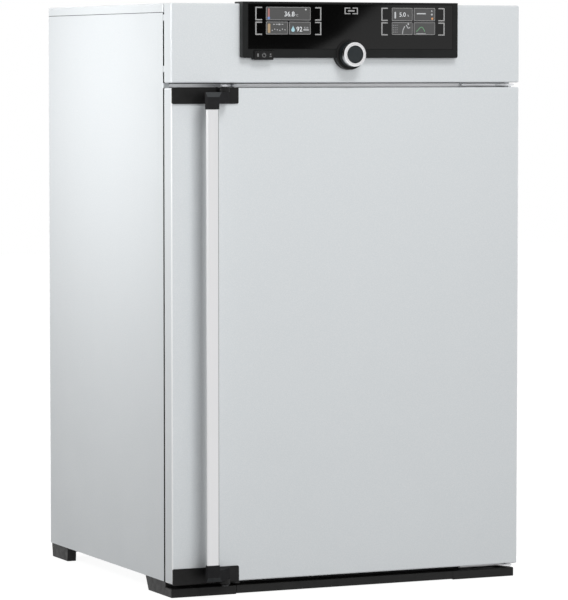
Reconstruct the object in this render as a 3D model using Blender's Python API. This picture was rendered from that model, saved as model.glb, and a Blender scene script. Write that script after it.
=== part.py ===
"""Carbon dioxide incubator, 240 litre class, built as separate pieces with real joints.

Metres, +Z up, front towards -Y.  The origin is the middle of the footprint on the floor.
Depths are counted backwards from the outer face of the closed door, heights from the floor.
"""
import math

import bmesh
import bpy
from mathutils import Matrix, Vector
from mathutils.geometry import convex_hull_2d

# Overall sizes of the cabinet
WIDTH = 0.779              # over the side panels
HANDLE_REACH = 0.056       # front of the handle bar to the door face
CASE_BOTTOM = 0.030        # underside of the casing above the floor
SHEET = 0.0015             # stainless sheet
GAP = 0.0003               # seam between two pieces that touch

# Front: door below, header above, both standing clear of the casing
FRONT_THICKNESS = 0.0366   # door and header, front to back
FRONT_AIR = 0.006          # air gap between them and the casing, closed by the gasket
SEAM_HEIGHT = 0.0175       # depth of the top cover's flange

# Chamber inside the insulation
CHAMBER_WIDTH = 0.600
CHAMBER_HEIGHT = 0.810
CHAMBER_DEPTH = 0.500
CHAMBER_FLOOR = 0.115      # inside floor above the ground
MOUTH_DEPTH = 0.062        # door face to the chamber's mouth
MOUTH_FLANGE = 0.018       # flange round the mouth
INSULATION_REAR = 0.075    # wool behind the chamber
INSULATION_ABOVE = 0.078   # wool above the chamber
SERVICE_DEPTH = 0.0525     # space for motor, valve and wiring, and the rear panel
CHAMBER_TOP = CHAMBER_FLOOR + CHAMBER_HEIGHT
DEPTH = MOUTH_DEPTH + CHAMBER_DEPTH + SHEET + INSULATION_REAR + SERVICE_DEPTH    # door face to rear panel

# Heights of the front: the door covers the chamber, the header stands above it
DOOR_BOTTOM = 0.0281
DOOR_ABOVE = 0.0955        # door's top edge above the chamber
HEADER_GAP = 0.0095        # between door and header, where the hinge and the levers are
HEADER_HEIGHT = 0.1585
DOOR_TOP = CHAMBER_TOP + DOOR_ABOVE
HEADER_BOTTOM = DOOR_TOP + HEADER_GAP
CASE_TOP = HEADER_BOTTOM + HEADER_HEIGHT

# Cockpit: control panel on the header
COCKPIT_WIDTH = 0.481
COCKPIT_CENTRE = -0.0013
COCKPIT_BOTTOM = CASE_TOP - 0.1085
COCKPIT_THICKNESS = 0.015
LIP_HEIGHT = 0.0035        # part of the cockpit that hooks over the header
LIP_BACK = 0.025
GLASS_WIDTH = 0.4566
GLASS_BOTTOM = CASE_TOP - 0.0907
GLASS_THICKNESS = 0.004
DISPLAY_WIDTH = 0.0985
DISPLAY_HEIGHT = 0.055
DISPLAY_OFFSET = 0.140     # middle of each display from the middle of the cockpit
DISPLAY_CENTRE_Z = CASE_TOP - 0.0341
CABLE_WINDOW = (0.380, CASE_TOP - 0.0685, CASE_TOP - 0.0185)    # width and edges, in the header
DISPLAY_POCKET = (0.400, CASE_TOP - 0.0685, CASE_TOP - 0.0045)  # width and edges, in the cockpit
HEADER_TABS = (CASE_TOP - 0.1305, CASE_TOP - 0.0285)            # they hold the header off the casing
TAB_HEIGHT = 0.012
BOARD_SIZE = (0.360, CASE_TOP - 0.0885, CASE_TOP - 0.0085)      # width, low and high edge
BOARD_THICKNESS = 0.0016
BOARD_STANDOFF = 0.006
BOARD_PARTS = ((-0.13, 0.050, 0.030, 0.010), (-0.02, 0.030, 0.030, 0.006),
               (0.06, 0.022, 0.022, 0.005), (0.12, 0.040, 0.018, 0.012))

# Knob that is turned and pressed
KNOB_X = -0.0048
KNOB_Z = CASE_TOP - 0.1013
KNOB_BASE_R = 0.031
KNOB_BASE_RISE = 0.002
KNOB_R = 0.0247
KNOB_CAP_R = 0.0176
KNOB_PROUD = 0.026         # front of the ring above the glass
KNOB_RING_DEPTH = 0.013
KNOB_TRAVEL = 0.0015
SPINDLE_R = 0.003
SPINDLE_LENGTH = 0.046     # up to its collar behind the header sheet
COLLAR_THICKNESS = 0.004

# Power key at the lower left of the cockpit
KEY_LEFT = -0.217
KEY_WIDTH = 0.042
KEY_BOTTOM = CASE_TOP - 0.1125
KEY_TOP = CASE_TOP - 0.0941
KEY_PROUD = 0.0025
KEY_TRAVEL = 0.0015

# Door hinge on the right
DOOR_PIVOT_INSET = 0.014   # pivot from the door's right edge
HINGE_PIN_R = 0.004
HINGE_PIN_REACH = 0.018    # pin inside the door
HINGE_PLATE = 0.004
HINGE_LENGTH = 0.112
KNUCKLE_R = 0.0095
BUSH_R = 0.008
BUSH_LENGTH = 0.020
GASKET_SIDE = 0.045        # gasket opening beyond the chamber, left and right
GASKET_INSIDE = CHAMBER_WIDTH / 2 + GASKET_SIDE
GASKET_WIDTH = 0.012
GASKET_DROP = 0.040        # gasket opening beyond the chamber, above and below

# Handle: a bar on two arms that turn on brackets
BRACKET_WIDTH = 0.1440
BRACKET_HEIGHT = 0.0330
BRACKET_THICKNESS = 0.0035
BRACKET_OVERHANG = 0.0012  # bracket above the door's top edge
PIVOT_FROM_EDGE = 0.108    # handle pivot from the door's left edge
PIVOT_PROUD = 0.0145       # handle pivot in front of the door
BOSS_R = 0.0112            # ear of the bracket
HUB_R = 0.0102             # hub of the arm
HANDLE_PIN_R = 0.004
BAR_WIDTH = 0.0262
BAR_THICKNESS = 0.009
BAR_CENTRE_FROM_EDGE = 0.0667
ARM_HEIGHT = 0.0245
ARM_CHAMFER = 0.0095
ARM_SLANT_DEPTH = 0.008
ARM_DROP = 0.0190          # top of the arm's face below the bracket's top
LEVER_THICKNESS = 0.004
LEVER_CLEARANCE = 0.0012   # lever above the bracket
LEVER_WIDTH = 0.010
LEVER_REACH_X = 0.0245
LEVER_REACH_Y = 0.036
STRIKE_CLEARANCE = 0.0012
STRIKE_WIDTH = 0.014

# Feet and plinth
FOOT_SETBACK = 0.0107      # base behind the door face
FOOT_INSET = 0.0027        # base inside the side panels
FRONT_FOOT_WIDTH = 0.142
FRONT_FOOT_DEPTH = 0.1397
FOOT_SLANT = 0.0167
PLINTH_HEIGHT = 0.018
PLINTH_WALL = 0.003        # wall of the plinth, whose rear one rises to the casing
REAR_FOOT_WIDTH = 0.020
REAR_FOOT_DEPTH = 0.0985
CROSSBAR_CLEARANCE = 0.0115
CROSSBAR_DEPTH = 0.018

# Inner glass door and its seal
INNER_GLASS = 0.005
INNER_OVERLAP = 0.014      # glass over the chamber's mouth on each side
SEAL_THICKNESS = 0.003
SEAL_WIDTH = 0.010
FRAME_MARGIN = 0.010       # front frame's window beyond the glass
INNER_PIN_R = 0.002
KNUCKLE_INNER = 0.0045
CLAMP_HEIGHT = 0.024
POST_REACH = 0.022
LATCH_R = 0.014
LATCH_DEPTH = 0.0065
LATCH_INSET = 0.014        # latch from the left edge of the glass
LATCH_Z = CHAMBER_FLOOR + CHAMBER_HEIGHT / 2
LATCH_SPINDLE_R = 0.0035
LATCH_REACH = 0.030        # tongue from the latch's axis

# Shelves and chamber ribs
RIB_PITCH = 0.0675
RIB_COUNT = 11
RIB_HEIGHT = 0.010
RIB_DEPTH = 0.006
SHELF_RIBS = (2, 5, 8)     # ribs that carry the three shelves
SHELF_SHEET = 0.0015
SHELF_FOLD = 0.012
SLOT_ROWS = 6
SLOT_COLUMNS = 11
SLOT_LENGTH = 0.052
SLOT_WIDTH = 0.009

# Fan on the chamber's rear wall
FAN_Z = CHAMBER_TOP - 0.185
FAN_R = 0.058
FAN_BLADES = 9
FAN_BLADE_DEPTH = 0.016
FAN_SHAFT_R = 0.004
COVER_DEPTH = 0.030
COVER_WIDTH = 0.220
MOTOR_R = 0.032
MOTOR_LENGTH = 0.036

# Services at the rear
GAS_X = -0.200
GAS_Z = CHAMBER_TOP - 0.305
GAS_R = 0.006
MAINS_X = 0.240
MAINS_Z = CASE_TOP - 0.1085
MAINS_WIDTH = 0.028
MAINS_HEIGHT = 0.031
PROBE_R = 0.010
PROBE_X = 0.170
PROBE_Z = CHAMBER_TOP - 0.125
PROBE_REACH = 0.050        # into the chamber
PROBE_HEAD = 0.025         # behind the wool
VENT_COLUMNS = (-0.26, -0.20, -0.14)
VENT_ROWS = tuple(CASE_TOP - below for below in (0.1285, 0.1135, 0.0985, 0.0835))
VENT_LENGTH = 0.040
VENT_HEIGHT = 0.005
PAN_HEIGHT = 0.014         # rim of the floor pan
FRONT_RETURN = 0.012       # flange of the side sheets at the front
REAR_RETURN = 0.015        # and at the rear
SUPPLY_LOW = (0.12, 0.18)  # power supply, x and distance behind the casing's front
SUPPLY_HIGH = (0.28, 0.40)
SUPPLY_HEIGHT = 0.060

# Derived places
HALF = WIDTH / 2
FRONT_Y = HANDLE_REACH - (DEPTH + HANDLE_REACH) / 2


def depth(distance):
    """Y of a point that lies this far behind the door's outer face."""
    return FRONT_Y + distance


CASE_FRONT = depth(FRONT_THICKNESS + FRONT_AIR)
REAR_Y = depth(DEPTH)
MOUTH_Y = depth(MOUTH_DEPTH)
CHAMBER_REAR = MOUTH_Y + CHAMBER_DEPTH
INSULATION_TOP = CHAMBER_TOP + INSULATION_ABOVE
GLASS_FRONT_Y = depth(-COCKPIT_THICKNESS)
DOOR_PIVOT = Vector((HALF - DOOR_PIVOT_INSET, depth(FRONT_THICKNESS / 2), 0))
HANDLE_PIVOT = Vector((PIVOT_FROM_EDGE - HALF, depth(-PIVOT_PROUD), 0))
KNOB_AXIS = Vector((KNOB_X, GLASS_FRONT_Y, KNOB_Z))
FAN_AXIS = Vector((0, CHAMBER_REAR, FAN_Z))
PROBE = Vector((PROBE_X, CHAMBER_REAR, PROBE_Z))
INNER_PIVOT = Vector((CHAMBER_WIDTH / 2 + INNER_OVERLAP + 0.003, depth(0.0465), 0))
LATCH_AXIS = Vector((-CHAMBER_WIDTH / 2 - INNER_OVERLAP + LATCH_INSET, MOUTH_Y, LATCH_Z))

# Colour, roughness and metallic value of each finish
FINISHES = {
    "embossed_steel": ((0.66, 0.69, 0.70), 0.42, 0.6),
    "plain_steel": ((0.60, 0.61, 0.62), 0.35, 0.9),
    "polished_steel": ((0.75, 0.76, 0.77), 0.18, 1.0),
    "chrome_ring": ((0.85, 0.85, 0.86), 0.15, 1.0),
    "black_plastic": ((0.02, 0.02, 0.021), 0.5, 0.0),
    "anthracite_plastic": ((0.035, 0.037, 0.040), 0.4, 0.0),
    "black_glass": ((0.004, 0.004, 0.004), 0.06, 0.0),
    "display": ((0.08, 0.08, 0.08), 0.25, 0.0),
    "clear_glass": ((0.75, 0.85, 0.82), 0.05, 0.0),
    "silicone": ((0.35, 0.35, 0.34), 0.7, 0.0),
    "mineral_wool": ((0.70, 0.64, 0.45), 0.95, 0.0),
    "circuit_board": ((0.02, 0.12, 0.05), 0.6, 0.0),
    "brass": ((0.60, 0.45, 0.18), 0.3, 1.0),
    "white_metal": ((0.80, 0.80, 0.78), 0.3, 0.9),
}

for leftover in list(bpy.data.objects):
    bpy.data.objects.remove(leftover, do_unlink=True)

scene = bpy.context.scene


def joint_empty(name, place, parent=None):
    """An empty on a joint's axis, which its moving pieces hang from."""
    empty = bpy.data.objects.new(name, None)
    empty.empty_display_size = 0.03
    scene.collection.objects.link(empty)
    empty.location = place - (parent["place"] if parent else Vector())
    if parent:
        empty.parent = parent["empty"]
    return {"empty": empty, "place": Vector(place)}


def add_piece(name, bm, finish, body=None, smooth=False):
    """Turn a bmesh in world coordinates into a named object with its material."""
    if body:
        bmesh.ops.translate(bm, verts=bm.verts[:], vec=-body["place"])
    mesh = bpy.data.meshes.new(name)
    bm.to_mesh(mesh)
    bm.free()
    piece = bpy.data.objects.new(name, mesh)
    scene.collection.objects.link(piece)
    if body:
        piece.parent = body["empty"]
    colour, roughness, metallic = FINISHES[finish]
    material = bpy.data.materials.new(name + "_" + finish)
    material.use_nodes = True
    shader = material.node_tree.nodes["Principled BSDF"]
    shader.inputs["Base Color"].default_value = (*colour, 1)
    shader.inputs["Roughness"].default_value = roughness
    shader.inputs["Metallic"].default_value = metallic
    mesh.materials.append(material)
    if smooth:
        mesh.shade_smooth()
        mesh.set_sharp_from_angle(angle=math.radians(35))
    return piece


def combine(piece, bm, operation):
    """Join a shape to a piece, or cut it away, with a hidden helper object."""
    mesh = bpy.data.meshes.new(piece.name + "_tool")
    bm.to_mesh(mesh)
    bm.free()
    tool = bpy.data.objects.new(piece.name + "_tool", mesh)
    scene.collection.objects.link(tool)
    tool.hide_render = True
    tool.display_type = "WIRE"
    modifier = piece.modifiers.new(operation.title(), "BOOLEAN")
    modifier.operation = operation
    modifier.solver = "EXACT"
    modifier.object = tool


def block(low, high):
    """A box between two corners."""
    bm = bmesh.new()
    low, high = Vector(low), Vector(high)
    size = Matrix.Diagonal((*(high - low), 1))
    bmesh.ops.create_cube(bm, size=1, matrix=Matrix.Translation((low + high) / 2) @ size)
    return bm


def prism(outline, axis, start, end, holes=()):
    """An outline with holes, extruded along one axis.

    Outline points are (x, y) for axis Z, (x, z) for axis Y and (y, z) for axis X.
    """
    place = {"X": lambda a, b: (start, a, b), "Y": lambda a, b: (a, start, b),
             "Z": lambda a, b: (a, b, start)}[axis]
    bm = bmesh.new()
    edges = []
    for loop in (outline, *holes):
        verts = [bm.verts.new(place(a, b)) for a, b in loop]
        edges += [bm.edges.new((verts[i - 1], verts[i])) for i in range(len(verts))]
    bmesh.ops.triangle_fill(bm, edges=edges, use_beauty=True)
    grown = bmesh.ops.extrude_face_region(bm, geom=bm.faces[:])
    moved = [part for part in grown["geom"] if isinstance(part, bmesh.types.BMVert)]
    step = {"X": (end - start, 0, 0), "Y": (0, end - start, 0), "Z": (0, 0, end - start)}[axis]
    bmesh.ops.translate(bm, verts=moved, vec=step)
    bmesh.ops.recalc_face_normals(bm, faces=bm.faces[:])
    return bm


def rectangle(left, right, low, high):
    """Corner points of a plain rectangle."""
    return [(left, low), (right, low), (right, high), (left, high)]


def rounded(left, right, low, high, radius, steps=4):
    """Corner points of a rectangle with round corners."""
    points = []
    corners = ((right - radius, low + radius, -90), (right - radius, high - radius, 0),
               (left + radius, high - radius, 90), (left + radius, low + radius, 180))
    for centre_a, centre_b, turn in corners:
        for step in range(steps + 1):
            angle = math.radians(turn + 90 * step / steps)
            points.append((centre_a + radius * math.cos(angle), centre_b + radius * math.sin(angle)))
    return points


def circle(centre_a, centre_b, radius, steps=24):
    """Points round a circle."""
    return [(centre_a + radius * math.cos(math.tau * i / steps),
             centre_b + radius * math.sin(math.tau * i / steps)) for i in range(steps)]


def turned(profile, place, axis="Y", steps=32):
    """Spin (radius, distance) points round an axis; distance runs along +axis from place."""
    bm = bmesh.new()
    verts = [bm.verts.new((radius, 0, distance)) for radius, distance in profile]
    closed = min(radius for radius, _ in profile) > 0
    pairs = list(zip(verts, verts[1:])) + ([(verts[-1], verts[0])] if closed else [])
    edges = [bm.edges.new(pair) for pair in pairs]
    bmesh.ops.spin(bm, geom=verts + edges, axis=(0, 0, 1), cent=(0, 0, 0), dvec=(0, 0, 0),
                   angle=math.tau, steps=steps, use_merge=True, use_duplicate=False)
    bmesh.ops.remove_doubles(bm, verts=bm.verts[:], dist=1e-6)
    bmesh.ops.recalc_face_normals(bm, faces=bm.faces[:])
    turn = {"Z": Matrix(), "Y": Matrix.Rotation(math.radians(-90), 4, "X"),
            "X": Matrix.Rotation(math.radians(90), 4, "Y")}[axis]
    bmesh.ops.transform(bm, matrix=Matrix.Translation(place) @ turn, verts=bm.verts[:])
    return bm


def tray(low, high, wall, open_side):
    """A pressed tray: a box hollowed from one side, given as an axis with its sign."""
    bm = block(low, high)
    index = "XYZ".index(open_side[1])
    sign = 1 if open_side[0] == "+" else -1
    bm.faces.ensure_lookup_table()
    mouth = max(bm.faces, key=lambda face: sign * face.calc_center_median()[index])
    bmesh.ops.inset_region(bm, faces=[mouth], thickness=wall, use_even_offset=True)
    sunk = bmesh.ops.extrude_face_region(bm, geom=[mouth])
    moved = [part for part in sunk["geom"] if isinstance(part, bmesh.types.BMVert)]
    step = Vector()
    step[index] = -sign * (high[index] - low[index] - wall)
    bmesh.ops.translate(bm, verts=moved, vec=step)
    if mouth.is_valid:
        bmesh.ops.delete(bm, geom=[mouth], context="FACES_ONLY")
    bmesh.ops.recalc_face_normals(bm, faces=bm.faces[:])
    return bm


def side_panel(name, side):
    """Folded side sheet with a return flange at the front and at the rear."""
    outline = [(HALF, CASE_FRONT), (HALF, REAR_Y), (HALF - REAR_RETURN, REAR_Y),
               (HALF - REAR_RETURN, REAR_Y - SHEET), (HALF - SHEET, REAR_Y - SHEET),
               (HALF - SHEET, CASE_FRONT + SHEET), (HALF - FRONT_RETURN, CASE_FRONT + SHEET),
               (HALF - FRONT_RETURN, CASE_FRONT)]
    outline = [(side * x, y) for x, y in outline]
    return add_piece(name, prism(outline, "Z", CASE_BOTTOM, CASE_TOP - SEAM_HEIGHT - GAP),
                     "embossed_steel")


def casing():
    """Side sheets, cover, rear sheet, floor pan and front frame of the cabinet."""
    side_panel("left_side_panel", -1)
    side_panel("right_side_panel", 1)
    add_piece("top_cover", tray((-HALF, CASE_FRONT, CASE_TOP - SEAM_HEIGHT),
                                (HALF, REAR_Y, CASE_TOP), SHEET, "-Z"), "embossed_steel")
    inside = HALF - SHEET - GAP
    add_piece("floor_pan", tray((-inside, CASE_FRONT + 2 * SHEET + 2 * GAP, CASE_BOTTOM),
                                (inside, REAR_Y - 2 * SHEET - 2 * GAP, CASE_BOTTOM + PAN_HEIGHT),
                                SHEET, "+Z"), "plain_steel")

    rear = HALF - REAR_RETURN - GAP
    vents = [rectangle(x, x + VENT_LENGTH, z, z + VENT_HEIGHT)
             for x in VENT_COLUMNS for z in VENT_ROWS]
    sockets = [circle(GAS_X, GAS_Z, GAS_R + GAP, 16),
               rectangle(MAINS_X - MAINS_WIDTH / 2 - GAP, MAINS_X + MAINS_WIDTH / 2 + GAP,
                         MAINS_Z - MAINS_HEIGHT / 2 - GAP, MAINS_Z + MAINS_HEIGHT / 2 + GAP)]
    add_piece("rear_panel", prism(rectangle(-rear, rear, CASE_BOTTOM, CASE_TOP - SEAM_HEIGHT - GAP),
                                  "Y", REAR_Y - SHEET, REAR_Y, vents + sockets), "plain_steel")

    window_x = CHAMBER_WIDTH / 2 + INNER_OVERLAP + FRAME_MARGIN
    window_low = CHAMBER_FLOOR - INNER_OVERLAP - FRAME_MARGIN
    window_high = CHAMBER_TOP + INNER_OVERLAP + FRAME_MARGIN
    add_piece("front_frame", prism(
        rectangle(-HALF + FRONT_RETURN + GAP, HALF - FRONT_RETURN - GAP, CASE_BOTTOM,
                  CASE_TOP - SEAM_HEIGHT - GAP),
        "Y", CASE_FRONT, CASE_FRONT + SHEET,
        [rounded(-window_x, window_x, window_low, window_high, 0.012)]), "plain_steel")


def header():
    """Shallow tray above the door, held off the casing by four tabs, open at the rear."""
    rear = depth(FRONT_THICKNESS)
    piece = add_piece("header_panel", tray((-HALF, FRONT_Y, HEADER_BOTTOM), (HALF, rear, CASE_TOP),
                                           SHEET, "+Y"), "embossed_steel")
    width, low, high = CABLE_WINDOW
    combine(piece, block((COCKPIT_CENTRE - width / 2, FRONT_Y - 0.01, low),
                         (COCKPIT_CENTRE + width / 2, FRONT_Y + 0.01, high)), "DIFFERENCE")
    combine(piece, turned([(0, 0), (SPINDLE_R + 0.003, 0), (SPINDLE_R + 0.003, 0.02), (0, 0.02)],
                          Vector((KNOB_X, FRONT_Y - 0.01, KNOB_Z)), steps=12), "DIFFERENCE")
    for side in (-1, 1):
        for height in HEADER_TABS:
            outer, inner = side * (HALF - 0.0002), side * (HALF - SHEET + 0.0002)
            combine(piece, block((min(outer, inner), rear - 0.004, height - TAB_HEIGHT / 2),
                                 (max(outer, inner), CASE_FRONT - GAP,
                                  height + TAB_HEIGHT / 2)), "UNION")


def cockpit():
    """Control panel: moulded frame with a lip, black glass, two displays, bezel, boards."""
    left, right = COCKPIT_CENTRE - COCKPIT_WIDTH / 2, COCKPIT_CENTRE + COCKPIT_WIDTH / 2
    back = FRONT_Y - GAP
    lip_low = CASE_TOP + GAP
    frame = add_piece("cockpit_housing", prism(rounded(left, right, COCKPIT_BOTTOM, lip_low, 0.004),
                                               "Y", GLASS_FRONT_Y, back), "anthracite_plastic")
    combine(frame, block((left, GLASS_FRONT_Y, lip_low - 0.005),
                         (right, back, lip_low + LIP_HEIGHT)), "UNION")
    combine(frame, block((left, back - 0.002, lip_low), (right, FRONT_Y + LIP_BACK,
                                                         lip_low + LIP_HEIGHT)), "UNION")
    glass_left, glass_right = COCKPIT_CENTRE - GLASS_WIDTH / 2, COCKPIT_CENTRE + GLASS_WIDTH / 2
    glass_back = GLASS_FRONT_Y + GLASS_THICKNESS
    combine(frame, block((glass_left - GAP, GLASS_FRONT_Y - 0.01, GLASS_BOTTOM - GAP),
                         (glass_right + GAP, glass_back + GAP, lip_low - 0.0005)), "DIFFERENCE")
    width, low, high = DISPLAY_POCKET
    combine(frame, block((COCKPIT_CENTRE - width / 2, GLASS_FRONT_Y - 0.01, low),
                         (COCKPIT_CENTRE + width / 2, FRONT_Y + 0.01, high)), "DIFFERENCE")
    combine(frame, block((KEY_LEFT - GAP, GLASS_FRONT_Y - 0.01, COCKPIT_BOTTOM - 0.01),
                         (KEY_LEFT + KEY_WIDTH + GAP, FRONT_Y + 0.01, KEY_TOP + GAP)), "DIFFERENCE")
    bore = [(0, 0), (SPINDLE_R + 0.0005, 0), (SPINDLE_R + 0.0005, 0.05), (0, 0.05)]
    combine(frame, turned(bore, Vector((KNOB_X, GLASS_FRONT_Y - 0.01, KNOB_Z)), steps=16), "DIFFERENCE")

    windows = []
    low, high = DISPLAY_CENTRE_Z - DISPLAY_HEIGHT / 2, DISPLAY_CENTRE_Z + DISPLAY_HEIGHT / 2
    for name, side in (("display_left", -1), ("display_right", 1)):
        centre = COCKPIT_CENTRE + side * DISPLAY_OFFSET
        windows.append(rectangle(centre - DISPLAY_WIDTH / 2, centre + DISPLAY_WIDTH / 2, low, high))
        module = prism(rectangle(centre - DISPLAY_WIDTH / 2 + GAP, centre + DISPLAY_WIDTH / 2 - GAP,
                                 low + GAP, high - GAP), "Y", GLASS_FRONT_Y + GAP, glass_back + 0.003)
        add_piece(name, module, "display")
    add_piece("cockpit_glass", prism(rectangle(glass_left, glass_right, GLASS_BOTTOM, lip_low - 0.001),
                                     "Y", GLASS_FRONT_Y, glass_back, windows), "black_glass")

    base_front = GLASS_FRONT_Y - GAP - KNOB_BASE_RISE
    bezel = add_piece("knob_bezel", turned(
        [(SPINDLE_R + 0.0015, 0), (KNOB_BASE_R - 0.001, 0), (KNOB_BASE_R, 0.001),
         (KNOB_BASE_R, back - base_front), (SPINDLE_R + 0.0015, back - base_front)],
        Vector((KNOB_X, base_front, KNOB_Z)), steps=40), "black_plastic", smooth=True)
    combine(bezel, block((KNOB_X - 0.05, GLASS_FRONT_Y - GAP, COCKPIT_BOTTOM - GAP),
                         (KNOB_X + 0.05, FRONT_Y + 0.01, KNOB_Z + 0.05)), "DIFFERENCE")

    control_board(FRONT_Y + SHEET + GAP)


def control_board(seat):
    """Circuit board on two stand-offs behind the header sheet, with its larger parts."""
    width, low, high = BOARD_SIZE
    face = seat + BOARD_STANDOFF
    back = face + BOARD_THICKNESS
    board = add_piece("control_board", block((COCKPIT_CENTRE - width / 2, face, low),
                                             (COCKPIT_CENTRE + width / 2, back, high)), "circuit_board")
    for x, wide, tall, deep in BOARD_PARTS:
        combine(board, block((x, back - 0.0006, low + 0.025), (x + wide, back + deep, low + 0.025 + tall)),
                "UNION")
    for x in (COCKPIT_CENTRE - width / 2 + 0.010, COCKPIT_CENTRE + width / 2 - 0.016):
        combine(board, block((x, seat, high - 0.006), (x + 0.006, face + 0.0006, high)), "UNION")


def insulation():
    """Mineral wool block round the chamber, with the passage of the fan's shaft."""
    side = HALF - SHEET - 2 * GAP
    front = CASE_FRONT + 2 * SHEET + 2 * GAP
    rear = CHAMBER_REAR + SHEET + INSULATION_REAR
    wool = add_piece("insulation_jacket", block((-side, front, CASE_BOTTOM + PAN_HEIGHT + SHEET + GAP),
                                                (side, rear, INSULATION_TOP)), "mineral_wool")
    margin = INNER_OVERLAP + FRAME_MARGIN
    combine(wool, block((-CHAMBER_WIDTH / 2 - margin, front - 0.01, CHAMBER_FLOOR - margin),
                        (CHAMBER_WIDTH / 2 + margin, MOUTH_Y + SHEET + GAP, CHAMBER_TOP + margin)),
            "DIFFERENCE")
    wall = SHEET + GAP
    combine(wool, block((-CHAMBER_WIDTH / 2 - wall, MOUTH_Y, CHAMBER_FLOOR - wall),
                        (CHAMBER_WIDTH / 2 + wall, CHAMBER_REAR + wall, CHAMBER_TOP + wall)),
            "DIFFERENCE")
    latch_side = -CHAMBER_WIDTH / 2 - margin
    combine(wool, block((latch_side - 0.012, front - 0.01, LATCH_Z - 0.012),
                        (latch_side + 0.01, MOUTH_Y, LATCH_Z + LATCH_REACH + 0.006)), "DIFFERENCE")
    for place, radius in ((FAN_AXIS, FAN_SHAFT_R + 0.002), (PROBE, PROBE_R + GAP),
                          (Vector((GAS_X, CHAMBER_REAR, GAS_Z)), GAS_R + 0.004)):
        combine(wool, turned([(0, 0), (radius, 0), (radius, 2 * INSULATION_REAR), (0, 2 * INSULATION_REAR)],
                             place - Vector((0, INSULATION_REAR / 4, 0)), steps=16), "DIFFERENCE")


def rib_profile():
    """Section of the chamber's inside: side walls with ribs, rounded below and flat on top."""
    half = CHAMBER_WIDTH / 2
    right = [(half, CHAMBER_FLOOR)]
    for number in range(RIB_COUNT):
        centre = rib_height(number)
        for offset, rise in ((-1, 0), (-0.7, 0.75), (-0.3, 1), (0.6, 1), (1, 0.6), (1, 0)):
            right.append((half - rise * RIB_DEPTH, centre + offset * RIB_HEIGHT / 2))
    right.append((half, CHAMBER_TOP))
    return right + [(-x, z) for x, z in reversed(right)]


def rib_height(number):
    """Middle of a rib, counted from the chamber floor."""
    spread = RIB_PITCH * (RIB_COUNT - 1)
    return CHAMBER_FLOOR + (CHAMBER_HEIGHT - spread) / 2 + RIB_PITCH * number


def chamber():
    """Deep-drawn stainless chamber with ribbed side walls, its mouth flange and seal."""
    half, rear = CHAMBER_WIDTH / 2, CHAMBER_REAR
    low, high = CHAMBER_FLOOR - MOUTH_FLANGE, CHAMBER_TOP + MOUTH_FLANGE
    shell = block((-half - MOUTH_FLANGE, MOUTH_Y, low), (half + MOUTH_FLANGE, MOUTH_Y + SHEET, high))
    back = max(shell.faces, key=lambda face: face.calc_center_median().y)
    bmesh.ops.inset_region(shell, faces=[back], thickness=MOUTH_FLANGE - SHEET, use_even_offset=True)
    drawn = bmesh.ops.extrude_face_region(shell, geom=[back])
    bmesh.ops.translate(shell, vec=(0, CHAMBER_DEPTH, 0),
                        verts=[part for part in drawn["geom"] if isinstance(part, bmesh.types.BMVert)])
    if back.is_valid:
        bmesh.ops.delete(shell, geom=[back], context="FACES_ONLY")
    bmesh.ops.recalc_face_normals(shell, faces=shell.faces[:])
    piece = add_piece("inner_chamber", shell, "polished_steel")
    combine(piece, prism(rib_profile(), "Y", MOUTH_Y - 0.01, rear), "DIFFERENCE")
    for place, radius in ((FAN_AXIS, FAN_SHAFT_R + 0.001), (PROBE, PROBE_R + GAP)):
        combine(piece, turned([(0, 0), (radius, 0), (radius, 0.04), (0, 0.04)],
                              place - Vector((0, 0.02, 0)), steps=16), "DIFFERENCE")

    inner = 0.003
    add_piece("chamber_seal", prism(
        rounded(-half - inner - SEAL_WIDTH, half + inner + SEAL_WIDTH, CHAMBER_FLOOR - inner - SEAL_WIDTH,
                CHAMBER_TOP + inner + SEAL_WIDTH, 0.012), "Y", MOUTH_Y - GAP - SEAL_THICKNESS,
        MOUTH_Y - GAP, [rounded(-half - inner, half + inner, CHAMBER_FLOOR - inner,
                                CHAMBER_TOP + inner, 0.004)]), "silicone")


def shelves():
    """Three slotted shelves with folded edges, resting on the chamber's ribs."""
    half = CHAMBER_WIDTH / 2 - 0.003
    front, rear = MOUTH_Y + 0.025, CHAMBER_REAR - COVER_DEPTH - 0.012
    pitch_x = 2 * half / (SLOT_ROWS + 1)
    first, last = front + 0.045, rear - 0.045
    slots = []
    for row in range(SLOT_COLUMNS):
        y = first + (last - first) * row / (SLOT_COLUMNS - 1)
        for column in range(SLOT_ROWS):
            x = -half + pitch_x * (column + 1)
            slots.append(rectangle(x - SLOT_LENGTH / 2, x + SLOT_LENGTH / 2,
                                   y - SLOT_WIDTH / 2, y + SLOT_WIDTH / 2))
    for name, rib in zip(("shelf_lower", "shelf_middle", "shelf_upper"), SHELF_RIBS):
        seat = rib_height(rib) + RIB_HEIGHT / 2 + GAP
        shelf = add_piece(name, prism(rectangle(-half, half, front, rear), "Z", seat,
                                      seat + SHELF_SHEET, slots), "polished_steel")
        for y in (front, rear - SHELF_SHEET):
            combine(shelf, block((-half + 0.010, y, seat - SHELF_FOLD + SHELF_SHEET),
                                 (half - 0.010, y + SHELF_SHEET, seat + SHELF_SHEET / 2)), "UNION")


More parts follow.
